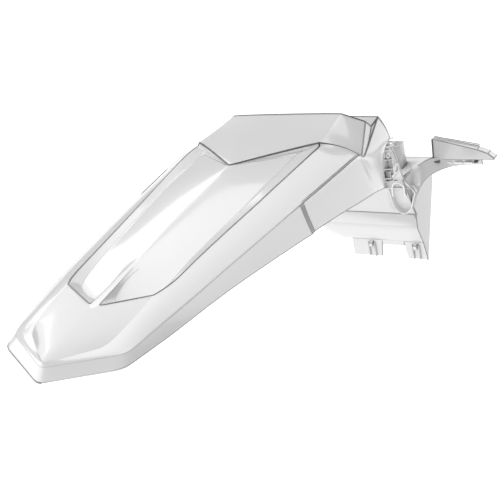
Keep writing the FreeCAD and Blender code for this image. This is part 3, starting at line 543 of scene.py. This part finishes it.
def lofted(name, rings, capped=(), edged=0, endless=False):
    """A skin through rings of points, closed at the rings named.

    The first bands, as many as edged says, take the second material.
    """
    mesh = bmesh.new()
    rows = [[mesh.verts.new(at(*place)) for place in ring] for ring in rings]
    for band, (lower, upper) in enumerate(zip(rows, rows[1:] + (rows[:1] if endless else []))):
        for i in range(len(lower)):
            skin = mesh.faces.new((lower[i - 1], lower[i], upper[i], upper[i - 1]))
            skin.material_index = 1 if band < edged else 0
    for end in capped:
        mesh.faces.new(rows[end])
    bmesh.ops.recalc_face_normals(mesh, faces=mesh.faces)
    return new_piece(name, mesh)


apron = new_piece("apron", apron_mesh)
for material in (polished_white, painted_edge_shade, matt_white):
    apron.data.materials.append(material)
thin_wall(apron, radius=0.8)

# The pockets' outline in the apron, a lopsided U, as x and z of the right one.
pocket_outline = [
    (43.6, -163), (43.2, -170), (42.6, -180), (42.6, -189), (43.8, -194), (46.2, -198.4),
    (49.7, -201), (53.8, -201.9), (57.8, -201), (62, -198), (67, -192.2), (71, -185),
    (74.6, -177), (78, -172.6), (79, -168), (77, -163),
]
pocket_middle = (58, -181)
# The cup behind the opening, as growth of the outline and depth: a rounded rim, walls with a
# little draft, and a flat floor. The rim's bands take the lighter white, a painted highlight.
cup_rings = [(0.9, 500.4), (0.9, 499.4), (0.3, 499.0), (-0.3, 499.3), (-0.6, 500.2),
             (-1.6, 506.0), (-2.4, 506.8)]
CUP_RIM_BANDS = 4
CUP_WALL = 0.0015
CUTTER_FRONT, CUTTER_BACK = 490, 510


def pocket_line(side, grow, y):
    """The pocket's outline, grown by this much and laid at this depth."""
    places = []
    for x, z in pocket_outline:
        outward = Vector((x - pocket_middle[0], z - pocket_middle[1])).normalized() * grow
        places.append((side * (x + outward.x), y, z + outward.y))
    return places


for side, name in SIDES:
    cut_away(apron, lofted("pocket_cutter", [pocket_line(side, 0, y)
                                             for y in (CUTTER_FRONT, CUTTER_BACK)],
                           capped=(0, -1)))
    cup = lofted("pocket_" + name, [pocket_line(side, grow, y) for grow, y in cup_rings],
                 capped=(-1,), edged=CUP_RIM_BANDS)
    cup_wall = cup.modifiers.new("wall", "SOLIDIFY")
    cup_wall.thickness = CUP_WALL
    cup_wall.offset = -1
    moulded_in(cup, polished_white, highlight_white)
moulded_in(apron, polished_white, painted_edge_shade, matt_white)

# Tabs: two tongues of the same plastic that lean back below the apron and plug into the bike's
# bodywork, with a bridge between them. Each carries a moulded hook over two guide ribs.
BLOCK_EDGE_ANGLE = math.radians(25)


def rounded_block(name, corners, push, radius, material, edge=painted_edge_shade):
    """A plate or block with soft edges in the edge plastic, a painted shade: an outline pushed
    through its depth, in millimetres.
    """
    mesh = bmesh.new()
    start = mesh.faces.new([mesh.verts.new(at(*place)) for place in corners])
    grown = bmesh.ops.extrude_face_region(mesh, geom=[start])
    moved = [item for item in grown["geom"] if isinstance(item, bmesh.types.BMVert)]
    bmesh.ops.translate(mesh, verts=moved, vec=Vector(push) / 1000)
    bmesh.ops.recalc_face_normals(mesh, faces=mesh.faces)
    piece = new_piece(name, mesh)
    soft = piece.modifiers.new("edges", "BEVEL")
    soft.width = radius / 1000
    soft.segments = 3
    soft.angle_limit = BLOCK_EDGE_ANGLE
    soft.harden_normals = True
    soft.material = 1
    moulded_in(piece, material, edge)
    return piece


PLATE = 2.5
TAB_TOP, TAB_FOOT = (493, -240), (486.5, -262)
for name, top_left, top_right, foot_left, foot_right in (
        ("left", -35, 11.5, -35, 8), ("right", 43, 72, 46.5, 75.5)):
    rounded_block("tab_" + name,
                  [(top_left, *TAB_TOP), (top_right, *TAB_TOP), (foot_right, *TAB_FOOT),
                   (foot_left, *TAB_FOOT)],
                  push=(0, PLATE, 0), radius=0.8, material=polished_white)
rounded_block("tab_bridge", [(11, 493, -240), (43.5, 493, -240), (43.5, 491.3, -246.2),
                             (11, 491.3, -246.2)],
              push=(0, PLATE, 0), radius=0.4, material=polished_white)
GUIDE_SHIFTS = (-5, 4)
GUIDE_WIDTH, HOOK_WIDTH = 1.3, 5.5
HOOK_SHIFT = -2.5
guide_side = [(493.5, -244), (489.5, -243), (484.2, -261.5), (487.3, -261.8)]
hook_side = [(493, -241.5), (487.5, -243), (486.5, -248.5), (489.5, -247.5), (490.2, -245.2),
             (492.5, -246)]
for name, middle in (("left", -5), ("right", 60.5)):
    for number, shift in enumerate(GUIDE_SHIFTS):
        rounded_block("guide_%s_%d" % (name, number + 1),
                      [(middle + shift, y, z) for y, z in guide_side],
                      push=(GUIDE_WIDTH, 0, 0), radius=0.3, material=polished_white)
    rounded_block("hook_" + name, [(middle + HOOK_SHIFT, y, z) for y, z in hook_side],
                  push=(HOOK_WIDTH, 0, 0), radius=0.6, material=polished_white)

# Gussets: upright plates under the shelf's ends, from the arm down to the tip of the right tab,
# of the same sheet as the apron. They stiffen the front of the moulding.
GUSSET_X = 70
gusset_head = [(499, -151), (547, -151), (558, -186)]
gusset_rear = [(495.5, -239), (493, -224), (491.5, -214), (500, -203)]
for side, name, foot, rear in ((1, "right", [(493.3, -270), (492.5, -262)], gusset_rear),
                               (-1, "left", [(494, -228)], gusset_rear[1:])):
    rounded_block("gusset_" + name,
                  [(side * GUSSET_X, y, z) for y, z in gusset_head + foot + rear],
                  push=(-side * PLATE, 0, 0), radius=0.9, material=matt_white)

# Shelf: the flat top of the apron's box, with a waisted outline that flares out to the wings.
# Two screws go down through its holes into the bike's subframe.
SHELF_Z = -150
BOLT_X, BOLT_Y, BOLT_RADIUS = 30, 524, 0.0032
HOLE_SIDES, HOLE_DEPTH = 40, 0.02
shelf_side = [(62, 500), (66, 511), (72, 525), (80, 540), (88, 549)]
outline = shelf_side + [(-x, y) for x, y in reversed(shelf_side)]
shelf_mesh = bmesh.new()
shelf_mesh.faces.new([shelf_mesh.verts.new(at(x, y, SHELF_Z)) for x, y in outline])
shelf = new_piece("shelf", shelf_mesh)
for material in (polished_white, painted_edge_shade):
    shelf.data.materials.append(material)
thin_wall(shelf, radius=0.7)


def drill(piece, middle, radius, turn=(0, 0, 0)):
    """Drills a round hole through a piece."""
    bpy.ops.mesh.primitive_cylinder_add(vertices=HOLE_SIDES, radius=radius, depth=HOLE_DEPTH,
                                        location=middle, rotation=turn)
    cut_away(piece, bpy.context.object)


for x in (-BOLT_X, BOLT_X):
    drill(shelf, at(x, BOLT_Y, SHELF_Z), BOLT_RADIUS)
moulded_in(shelf, polished_white, painted_edge_shade)

# Arms: the flared skin from the apron's upright edge round to the foot of each wing, moulded
# with both. Lines across it run from the shelf's edge down to the arm's lower edge.
arm_lines = [
    ((62, 500.2, -149.8), (66, 500.4, -172), (70.2, 501, -193)),
    ((66.5, 511, -149.8), (70, 507, -168), (73, 506, -184)),
    ((72, 525, -149.8), (74.5, 517, -163), (76.5, 511, -175.5)),
    ((80, 540, -150), (82.5, 530, -157), (84.5, 522.5, -163.5)),
    ((88, 549, -150.6), (92, 542, -156.5), (96, 536.5, -161.5)),
    ((106, 549.6, -151.5), (108, 547.5, -156.5), (110, 546, -161.8)),
    ((128, 549.8, -152), (129, 549, -156.5), (130, 549, -161.5)),
    ((150, 550, -152.3), (150, 549.9, -156.5), (150, 550, -162)),
]
for side, name in SIDES:
    arm_mesh = bmesh.new()
    grid = [[arm_mesh.verts.new(at(side * x, y, z)) for x, y, z in line] for line in arm_lines]
    for near, far in zip(grid, grid[1:]):
        for i in range(len(near) - 1):
            corners = (near[i], near[i + 1], far[i + 1], far[i])
            arm_mesh.faces.new(corners if side > 0 else reversed(corners))
    arm = new_piece("arm_" + name, arm_mesh)
    smooth = arm.modifiers.new("curves", "SUBSURF")
    smooth.levels = smooth.render_levels = 3
    smooth.boundary_smooth = "PRESERVE_CORNERS"
    thin_wall(arm, radius=0.8)
    moulded_in(arm, matt_white, painted_edge_shade)

# Bosses: a half-round swelling down the face of each arm, in the same plastic, that leans with
# the mould's pull. Each ring is a place along the boss and a radius.
BOSS_SIDES = 28
BOSS_FOOT = (71.2, 517.2, -170.8)
BOSS_LEAN = (0.56, 0.83)
boss_rings = [(0, 6.6), (0.8, 7.6), (2.4, 8.1), (14, 7.9), (24, 7.2)]
for side, name in SIDES:
    turns = [2 * math.pi * step / BOSS_SIDES for step in range(BOSS_SIDES)]
    rings = [[(side * (BOSS_FOOT[0] + radius * math.cos(turn)),
               BOSS_FOOT[1] + along * BOSS_LEAN[0] + radius * math.sin(turn) * BOSS_LEAN[1],
               BOSS_FOOT[2] + along * BOSS_LEAN[1] - radius * math.sin(turn) * BOSS_LEAN[0])
              for turn in turns] for along, radius in boss_rings]
    moulded_in(lofted("boss_" + name, rings, capped=(0, -1)), polished_white)

# Boxes: open sockets with rounded corners that stand on the shelf and lean forward as the
# bosses do, in the same plastic. Each ring is a height and half a width in x and in y.
SOCKET_SIDES = 32
SOCKET_FOOT = (49.5, 528, -151)
SOCKET_LEAN = 0.38
SQUARENESS = 0.5
socket_rings = [(0, 8.0, 8.6), (20, 7.6, 6.6), (26, 7.5, 6.0), (26.6, 7.9, 6.4),
                (27.4, 7.9, 6.4), (27.6, 7.0, 5.5), (26.8, 6.1, 4.6), (4, 6.0, 4.6)]


def squared(share):
    """A round outline's share of its width, pushed out towards a square's."""
    return math.copysign(abs(share) ** SQUARENESS, share)


for side, name in SIDES:
    turns = [2 * math.pi * (step + 0.5) / SOCKET_SIDES for step in range(SOCKET_SIDES)]
    rings = [[(side * (SOCKET_FOOT[0] + half_x * squared(math.cos(turn))),
               SOCKET_FOOT[1] + rise * SOCKET_LEAN + half_y * squared(math.sin(turn)),
               SOCKET_FOOT[2] + rise) for turn in turns] for rise, half_x, half_y in socket_rings]
    moulded_in(lofted("socket_" + name, rings, capped=(0, -1)), polished_white)

# Wings: leaning plates at the shelf's ends, each with a ribbed flange along its upper edge and
# clips under its lower one, which the side panels push into. A node group sets out the ribs.
ribs_group = bpy.data.node_groups.new("evenly_set_ribs", "GeometryNodeTree")
ribs_group.interface.new_socket("Geometry", in_out="OUTPUT", socket_type="NodeSocketGeometry")
rib_inputs = {
    label: ribs_group.interface.new_socket(label, in_out="INPUT", socket_type=kind).identifier
    for label, kind in (("Count", "NodeSocketInt"), ("Start", "NodeSocketVector"),
                        ("Step", "NodeSocketVector"), ("Size", "NodeSocketVector"),
                        ("Turn", "NodeSocketRotation"), ("Plastic", "NodeSocketMaterial"))}
ribs_in, ribs_out, row_line, bar, scatter, real, paint = [
    ribs_group.nodes.new(kind) for kind in (
        "NodeGroupInput", "NodeGroupOutput", "GeometryNodeMeshLine", "GeometryNodeMeshCube",
        "GeometryNodeInstanceOnPoints", "GeometryNodeRealizeInstances",
        "GeometryNodeSetMaterial")]
for start, end in (
        (ribs_in.outputs["Count"], row_line.inputs["Count"]),
        (ribs_in.outputs["Start"], row_line.inputs["Start Location"]),
        (ribs_in.outputs["Step"], row_line.inputs["Offset"]),
        (ribs_in.outputs["Size"], bar.inputs["Size"]),
        (row_line.outputs["Mesh"], scatter.inputs["Points"]),
        (bar.outputs["Mesh"], scatter.inputs["Instance"]),
        (ribs_in.outputs["Turn"], scatter.inputs["Rotation"]),
        (scatter.outputs["Instances"], real.inputs["Geometry"]),
        (real.outputs["Geometry"], paint.inputs["Geometry"]),
        (ribs_in.outputs["Plastic"], paint.inputs["Material"]),
        (paint.outputs["Geometry"], ribs_out.inputs["Geometry"])):
    ribs_group.links.new(start, end)


def rib_row(name, count, start, step, size, turn, radius, material):
    """A row of equal ribs, with soft edges, from the node group."""
    piece = bpy.data.objects.new(name, bpy.data.meshes.new(name))
    bpy.context.collection.objects.link(piece)
    setter = piece.modifiers.new("ribs", "NODES")
    setter.node_group = ribs_group
    for label, value in (("Count", count), ("Start", start), ("Step", step), ("Size", size),
                         ("Turn", turn), ("Plastic", material)):
        setter[rib_inputs[label]] = value
    piece.update_tag()
    make_plain(piece)
    soft = piece.modifiers.new("edges", "BEVEL")
    soft.width = radius / 1000
    soft.segments = 2
    soft.harden_normals = True
    moulded_in(piece, material)


WING_LEAN = 0.44
WING_FOOT, FLANGE_FOOT, END_FOOT = (549.4, -154), (548.6, -154), (547.4, -153.6)
wing_line = [(86, 0), (168, 0), (168, 2.0), (160, 7.2), (146, 11.6), (86, 23.4)]
end_line = [(86, 0), (86, 23.2), (87.6, 22.8), (87.6, 0)]
flange_runs = [((86, 23.4), (146, 11.6)), ((146, 11.6), (160, 7.2)), ((160, 7.2), (167.8, 2.2))]
FLANGE_DEPTH, FLANGE_SAG = 7.6, -0.4
# The flange's long run falls 11.8 mm in 60.
FLANGE_SLOPE = math.atan2(11.8, 60)
RIBS_X, RIBS_RISE, RIBS_FOOT = 116, 17.5, (551.2, -153.9)
RIBS_STEP, RIBS_SIZE = Vector((0, 0.0026, -0.00012)), Vector((0.0600, 0.0009, 0.0012))
CLIPS_X, CLIPS_Y, CLIPS_Z = 106, 547.4, -157.4
CLIPS_PITCH, CLIPS_SIZE = 0.0135, Vector((0.0108, 0.0030, 0.0022))
# Catches at both ends of the clips, in painted shade: near and far x, y, and z of the top.
wing_catches = [(89.5, 96.5, 546, -153.2), (141, 146, 549, -154.9)]


def on_wing(side, x, rise, foot):
    """A place on the wing's leaning face, this far above its foot."""
    return side * x, foot[0] + rise * WING_LEAN, foot[1] + rise


for side, name in SIDES:
    rounded_block("wing_" + name, [on_wing(side, x, rise, WING_FOOT) for x, rise in wing_line],
                  push=(0, -2.2, 0.6), radius=0.8, material=matt_white)
    # A strip along the wing's inner end, in painted shade.
    rounded_block("wing_end_" + name, [on_wing(side, x, rise, END_FOOT) for x, rise in end_line],
                  push=(0, -1.2, 0.4), radius=0.3, material=deep_shade, edge=deep_shade)
    # The flanges and the clips are in the lighter white, a painted highlight.
    for number, (start, end) in enumerate(flange_runs):
        back = [on_wing(side, x, rise, FLANGE_FOOT) for x, rise in (start, end)]
        front = [(x, y + FLANGE_DEPTH, z + FLANGE_SAG) for x, y, z in reversed(back)]
        rounded_block("wing_flange_%s_%d" % (name, number + 1), back + front,
                      push=(0, 0.2, -1.8), radius=0.5, material=highlight_white)
    rib_row("wing_ribs_" + name, count=3,
            start=at(*on_wing(side, RIBS_X, RIBS_RISE, RIBS_FOOT)), step=RIBS_STEP,
            size=RIBS_SIZE, turn=(0, side * FLANGE_SLOPE, 0), radius=0.3, material=matt_white)
    rib_row("wing_clips_" + name, count=3, start=at(side * CLIPS_X, CLIPS_Y, CLIPS_Z),
            step=Vector((side * CLIPS_PITCH, 0, 0)), size=CLIPS_SIZE, turn=(0, 0, 0), radius=0.5,
            material=highlight_white)
    for number, (near, far, y, top) in enumerate(wing_catches):
        rounded_block("wing_catch_%s_%d" % (name, number + 1),
                      [(side * near, y, top), (side * far, y, top), (side * far, y, top - 1.7),
                       (side * near, y, top - 2.3)],
                      push=(0, -3.6, 0), radius=0.4, material=deep_shade, edge=deep_shade)

# Corner webs: plates of the same sheet that tie the side walls to the bulkhead. Each carries the
# bore for a side bolt and a stack of clip cells, open outwards, with a ring, a lip and catches
# that hold the side panel.
WEB_X, BORE_X = 84, 83
SIDE_BOLT = (476, -116)
SIDE_BORE_RADIUS = 0.0042
RING_SIDES = 28
web_outline = [(462, -66), (480, -77.5), (478.5, -96), (480.5, -109.5), (483, -113.5),
               (483.3, -118.5), (480.5, -122.8), (476, -124.2), (465, -126), (452, -128),
               (434, -116), (440, -102), (452, -84)]
top_rear, top_front, low_rear, low_front = [Vector(corner) for corner in (
    (464.3, -67.5), (483.9, -79.3), (435.6, -115.8), (453, -127))]


def on_stack(across, down):
    """A place in the stack of cells, as shares of its width and height, in tail y and z."""
    spot = top_rear.lerp(top_front, across).lerp(low_rear.lerp(low_front, across), down)
    return spot.x, spot.y


def ring(name, side, centre, profile, material):
    """A ring round a line that runs across the part: (x, radius) pairs, closed on itself."""
    turns = [2 * math.pi * step / RING_SIDES for step in range(RING_SIDES)]
    rings = [[(side * x, centre[0] + radius * math.cos(turn), centre[1] + radius * math.sin(turn))
              for x, radius in profile] for turn in turns]
    moulded_in(lofted(name, rings, endless=True), material)


# Plates of the stack: name, outline in shares of the stack, x of the inner side, width, edge
# radius, and plastic with the plastic of the edges. The lighter white is a painted highlight, and
# deep shade and edge shade are painted shade.
stack_plates = [
    ("stack_rear_wall_%s", [(-0.05, 0.16), (0.03, 0.16), (0.03, 1), (-0.05, 1)], 83, 7, 0.4,
     (polished_white, painted_edge_shade)),
    ("stack_post_%s", [(0.6, 0.66), (0.68, 0.66), (0.68, 0.84), (0.6, 0.84)], 83, 7, 0.3,
     (highlight_white, painted_edge_shade)),
    ("stack_lip_%s", [(0.72, 0.38), (0.82, 0.38), (0.95, 0.57), (1.08, 0.71), (1.0, 0.79),
                      (0.72, 0.8), (0.72, 0.75), (0.92, 0.73), (0.84, 0.58)], 83, 7.5, 0.5,
     (highlight_white, painted_edge_shade)),
    ("stack_catch_%s", [(0.7, 0.78), (1.08, 0.76), (1.1, 0.86), (0.7, 0.87)], 83, 5, 0.4,
     (deep_shade, painted_edge_shade)),
]
# The backs of the open cells, thin plates in painted shade that darken the cells.
for number, (left, right, top, low) in enumerate((
        (0.25, 0.57, 0.68, 0.83), (0.3, 0.66, 0.89, 0.97), (0.05, 0.3, 0.45, 0.6))):
    stack_plates.append(("cell_back_%%s_%d" % (number + 1),
                         [(left, top), (right, top), (right, low), (left, low)], 84, 0.4, 0.1,
                         (deep_shade, deep_shade)))
LOOP_PITCH = 0.07
for number, loop_edge in enumerate((highlight_white, painted_edge_shade, highlight_white)):
    lift = LOOP_PITCH * number
    stack_plates.append(("stack_loop_%%s_%d" % (number + 1),
                         [(-0.1, 0.22 - lift * 0.3), (0.02, 0.09 + lift * 0.5),
                          (0.3, 0.01 + lift), (0.92, -0.02 + lift), (0.95, 0.01 + lift),
                          (0.36, 0.04 + lift), (0.1, 0.11 + lift * 0.5),
                          (-0.04, 0.23 - lift * 0.3)],
                         83.5 + number, 7.2 - number, 0.4, (polished_white, loop_edge)))
stack_down = Vector(on_stack(0.5, 1)) - Vector(on_stack(0.5, 0))
stack_across = Vector(on_stack(1, 0.5)) - Vector(on_stack(0, 0.5))
STACK_RIB_X, STACK_RIB_START, STACK_RIB_PITCH = 86.8, (0.46, 0.24), 0.19
STACK_RIB_DEPTH, STACK_RIB_WIDTH = 0.007, 0.0011
# The short return of the side wall's front edge, from the stack out to the wall.
return_line = [(83, 464, -68), (83, 436, -116), (97, 429.5, -108.6), (96, 437, -93.5),
               (94.5, 448, -80.5), (93, 460, -72.5)]

for side, name in SIDES:
    web = rounded_block("web_" + name, [(side * WEB_X, y, z) for y, z in web_outline],
                        push=(-side * PLATE, 0, 0), radius=0.4, material=matt_white)
    drill(web, at(side * BORE_X, *SIDE_BOLT), SIDE_BORE_RADIUS, turn=(0, math.pi / 2, 0))
    # The bore's rim and the panel's ring are in the lighter white, a painted highlight.
    ring("bore_rim_" + name, side, SIDE_BOLT,
         [(83.5, 4.3), (84.6, 4.3), (85.1, 4.7), (85.1, 5.5), (84.6, 5.9), (83.5, 5.9)],
         highlight_white)
    ring("panel_ring_" + name, side, on_stack(0.42, 0.345),
         [(83.5, 1.9), (90.2, 1.9), (90.8, 2.3), (90.8, 3.1), (90.2, 3.5), (83.5, 3.5)],
         highlight_white)
    for label, places, x, width, radius, (plastic, edge) in stack_plates:
        rounded_block(label % name, [(side * x, *on_stack(*spot)) for spot in places],
                      push=(side * width, 0, 0), radius=radius, material=plastic, edge=edge)
    rib_row("stack_ribs_" + name, count=5,
            start=at(side * STACK_RIB_X, *on_stack(*STACK_RIB_START)),
            step=Vector((0, *(stack_down * STACK_RIB_PITCH / 1000))),
            size=Vector((STACK_RIB_DEPTH, stack_across.length / 1000, STACK_RIB_WIDTH)),
            turn=(math.atan2(stack_across.y, stack_across.x), 0, 0), radius=0.3,
            material=polished_white)
    rounded_block("front_return_" + name, [(side * x, y, z) for x, y, z in return_line],
                  push=(0, 1.6, -1.1), radius=0.4, material=matt_white)

# Strap loops: a round rod of the same plastic over each pocket, both ends moulded into the apron,
# which the bike's wiring strap runs through. It is drawn in the lighter white, a painted
# highlight.
ROD_RADIUS = 0.001
loop_path = [(47.3, 499, -174.5), (51, 497, -160.8), (57.5, 496, -152.6), (65, 496, -151.8),
             (69.5, 496, -156), (68.3, 497, -164), (64.7, 499, -173.9)]
for side, name in SIDES:
    rod = bpy.data.curves.new("strap_loop_" + name, "CURVE")
    rod.dimensions = "3D"
    line = rod.splines.new("NURBS")
    line.points.add(len(loop_path) - 1)
    for point, (x, y, z) in zip(line.points, loop_path):
        point.co = (*at(side * x, y, z), 1)
    line.order_u = 3
    line.use_endpoint_u = True
    rod.bevel_depth = ROD_RADIUS
    rod.bevel_resolution = 3
    rod.use_fill_caps = True
    rod_drawn = bpy.data.objects.new("strap_drawn", rod)
    bpy.context.collection.objects.link(rod_drawn)
    loop = bpy.data.objects.new("strap_loop_" + name, finished_mesh(rod_drawn))
    bpy.data.objects.remove(rod_drawn)
    bpy.context.collection.objects.link(loop)
    moulded_in(loop, highlight_white)

# Floor: a plain pale table that glows a little, as a studio's light table does. It lies well
# below the part and doesn't touch it.
FLOOR_DROP = 0.25
FLOOR_SIZE = 12
PAPER, GLOW = (0.55, 0.55, 0.55, 1), (1, 1, 1, 1)
PAPER_ROUGHNESS, PAPER_GLOW = 0.9, 0.8
bpy.ops.mesh.primitive_plane_add(size=FLOOR_SIZE, location=(0, 0, low_corner[2] - FLOOR_DROP))
floor = bpy.context.object
floor.name = "floor"
paper = bpy.data.materials.new("light_table")
paper.use_nodes = True
table_shader = paper.node_tree.nodes["Principled BSDF"]
for label, value in (("Base Color", PAPER), ("Roughness", PAPER_ROUGHNESS),
                     ("Emission Color", GLOW), ("Emission Strength", PAPER_GLOW)):
    table_shader.inputs[label].default_value = value
floor.data.materials.append(paper)

# Light: a dim grey room, and large soft lamps on stands around the part, which the glossy
# plastic mirrors as white. Two stand in front, one at the right and two behind.
ROOM_LIGHT = 0.36
world = bpy.data.worlds.new("room")
bpy.context.scene.world = world
bpy.context.scene.view_settings.view_transform = "Standard"
world.use_nodes = True
room = world.node_tree.nodes["Background"]
room.inputs["Color"].default_value = (1, 1, 1, 1)
room.inputs["Strength"].default_value = ROOM_LIGHT
lit_point = at(0, 250, -20)


def soft_lamp(name, azimuth, elevation, distance, width, height, radiance):
    """A rectangular soft lamp, this many degrees round from forward and up, facing the part."""
    data = bpy.data.lights.new(name, "AREA")
    data.shape = "RECTANGLE"
    data.size = width
    data.size_y = height
    data.energy = radiance * math.pi * width * height
    lamp = bpy.data.objects.new(name, data)
    bpy.context.collection.objects.link(lamp)
    turn, rise = math.radians(azimuth), math.radians(elevation)
    away = Vector((math.sin(turn) * math.cos(rise), math.cos(turn) * math.cos(rise),
                   math.sin(rise)))
    lamp.location = lit_point + away * distance
    lamp.rotation_euler = (-away).to_track_quat("-Z", "Y").to_euler()


soft_lamp("low_front_lamp", azimuth=-62, elevation=24, distance=1.8, width=1.0, height=0.25,
          radiance=2.4)
soft_lamp("high_front_lamp", azimuth=-26, elevation=55.5, distance=1.8, width=3.4, height=1.4,
          radiance=2.0)
soft_lamp("right_lamp", azimuth=100, elevation=20, distance=1.8, width=1.2, height=1.2,
          radiance=0.5)
soft_lamp("rear_lamp", azimuth=185, elevation=16, distance=2.0, width=2.6, height=1.4,
          radiance=1.7)
soft_lamp("left_rear_lamp", azimuth=245, elevation=20, distance=1.8, width=1.6, height=1.2,
          radiance=1.7)

# Camera: the photograph's view, from behind and above on the right, rolled to the left, with a
# long lens about 1.2 m away. It was solved from the deck's mirrored creases.
view_target = at(0, 290.8, -97.8)
VIEW_AZIMUTH = math.radians(48.14)
VIEW_ELEVATION = math.radians(30.49)
VIEW_ROLL = math.radians(-24.81)
VIEW_DISTANCE = 1.218
LENS, SENSOR = 79.2, 36.0
sight = Vector((-math.sin(VIEW_AZIMUTH) * math.cos(VIEW_ELEVATION),
                math.cos(VIEW_AZIMUTH) * math.cos(VIEW_ELEVATION), -math.sin(VIEW_ELEVATION)))
camera_data = bpy.data.cameras.new("camera")
camera_data.lens = LENS
camera_data.sensor_width = SENSOR
camera = bpy.data.objects.new("camera", camera_data)
bpy.context.collection.objects.link(camera)
aimed = sight.to_track_quat("-Z", "Y").to_matrix().to_4x4()
camera.matrix_world = (Matrix.Translation(view_target - sight * VIEW_DISTANCE) @ aimed
                       @ Matrix.Rotation(VIEW_ROLL, 4, "Z"))
bpy.context.scene.camera = camera
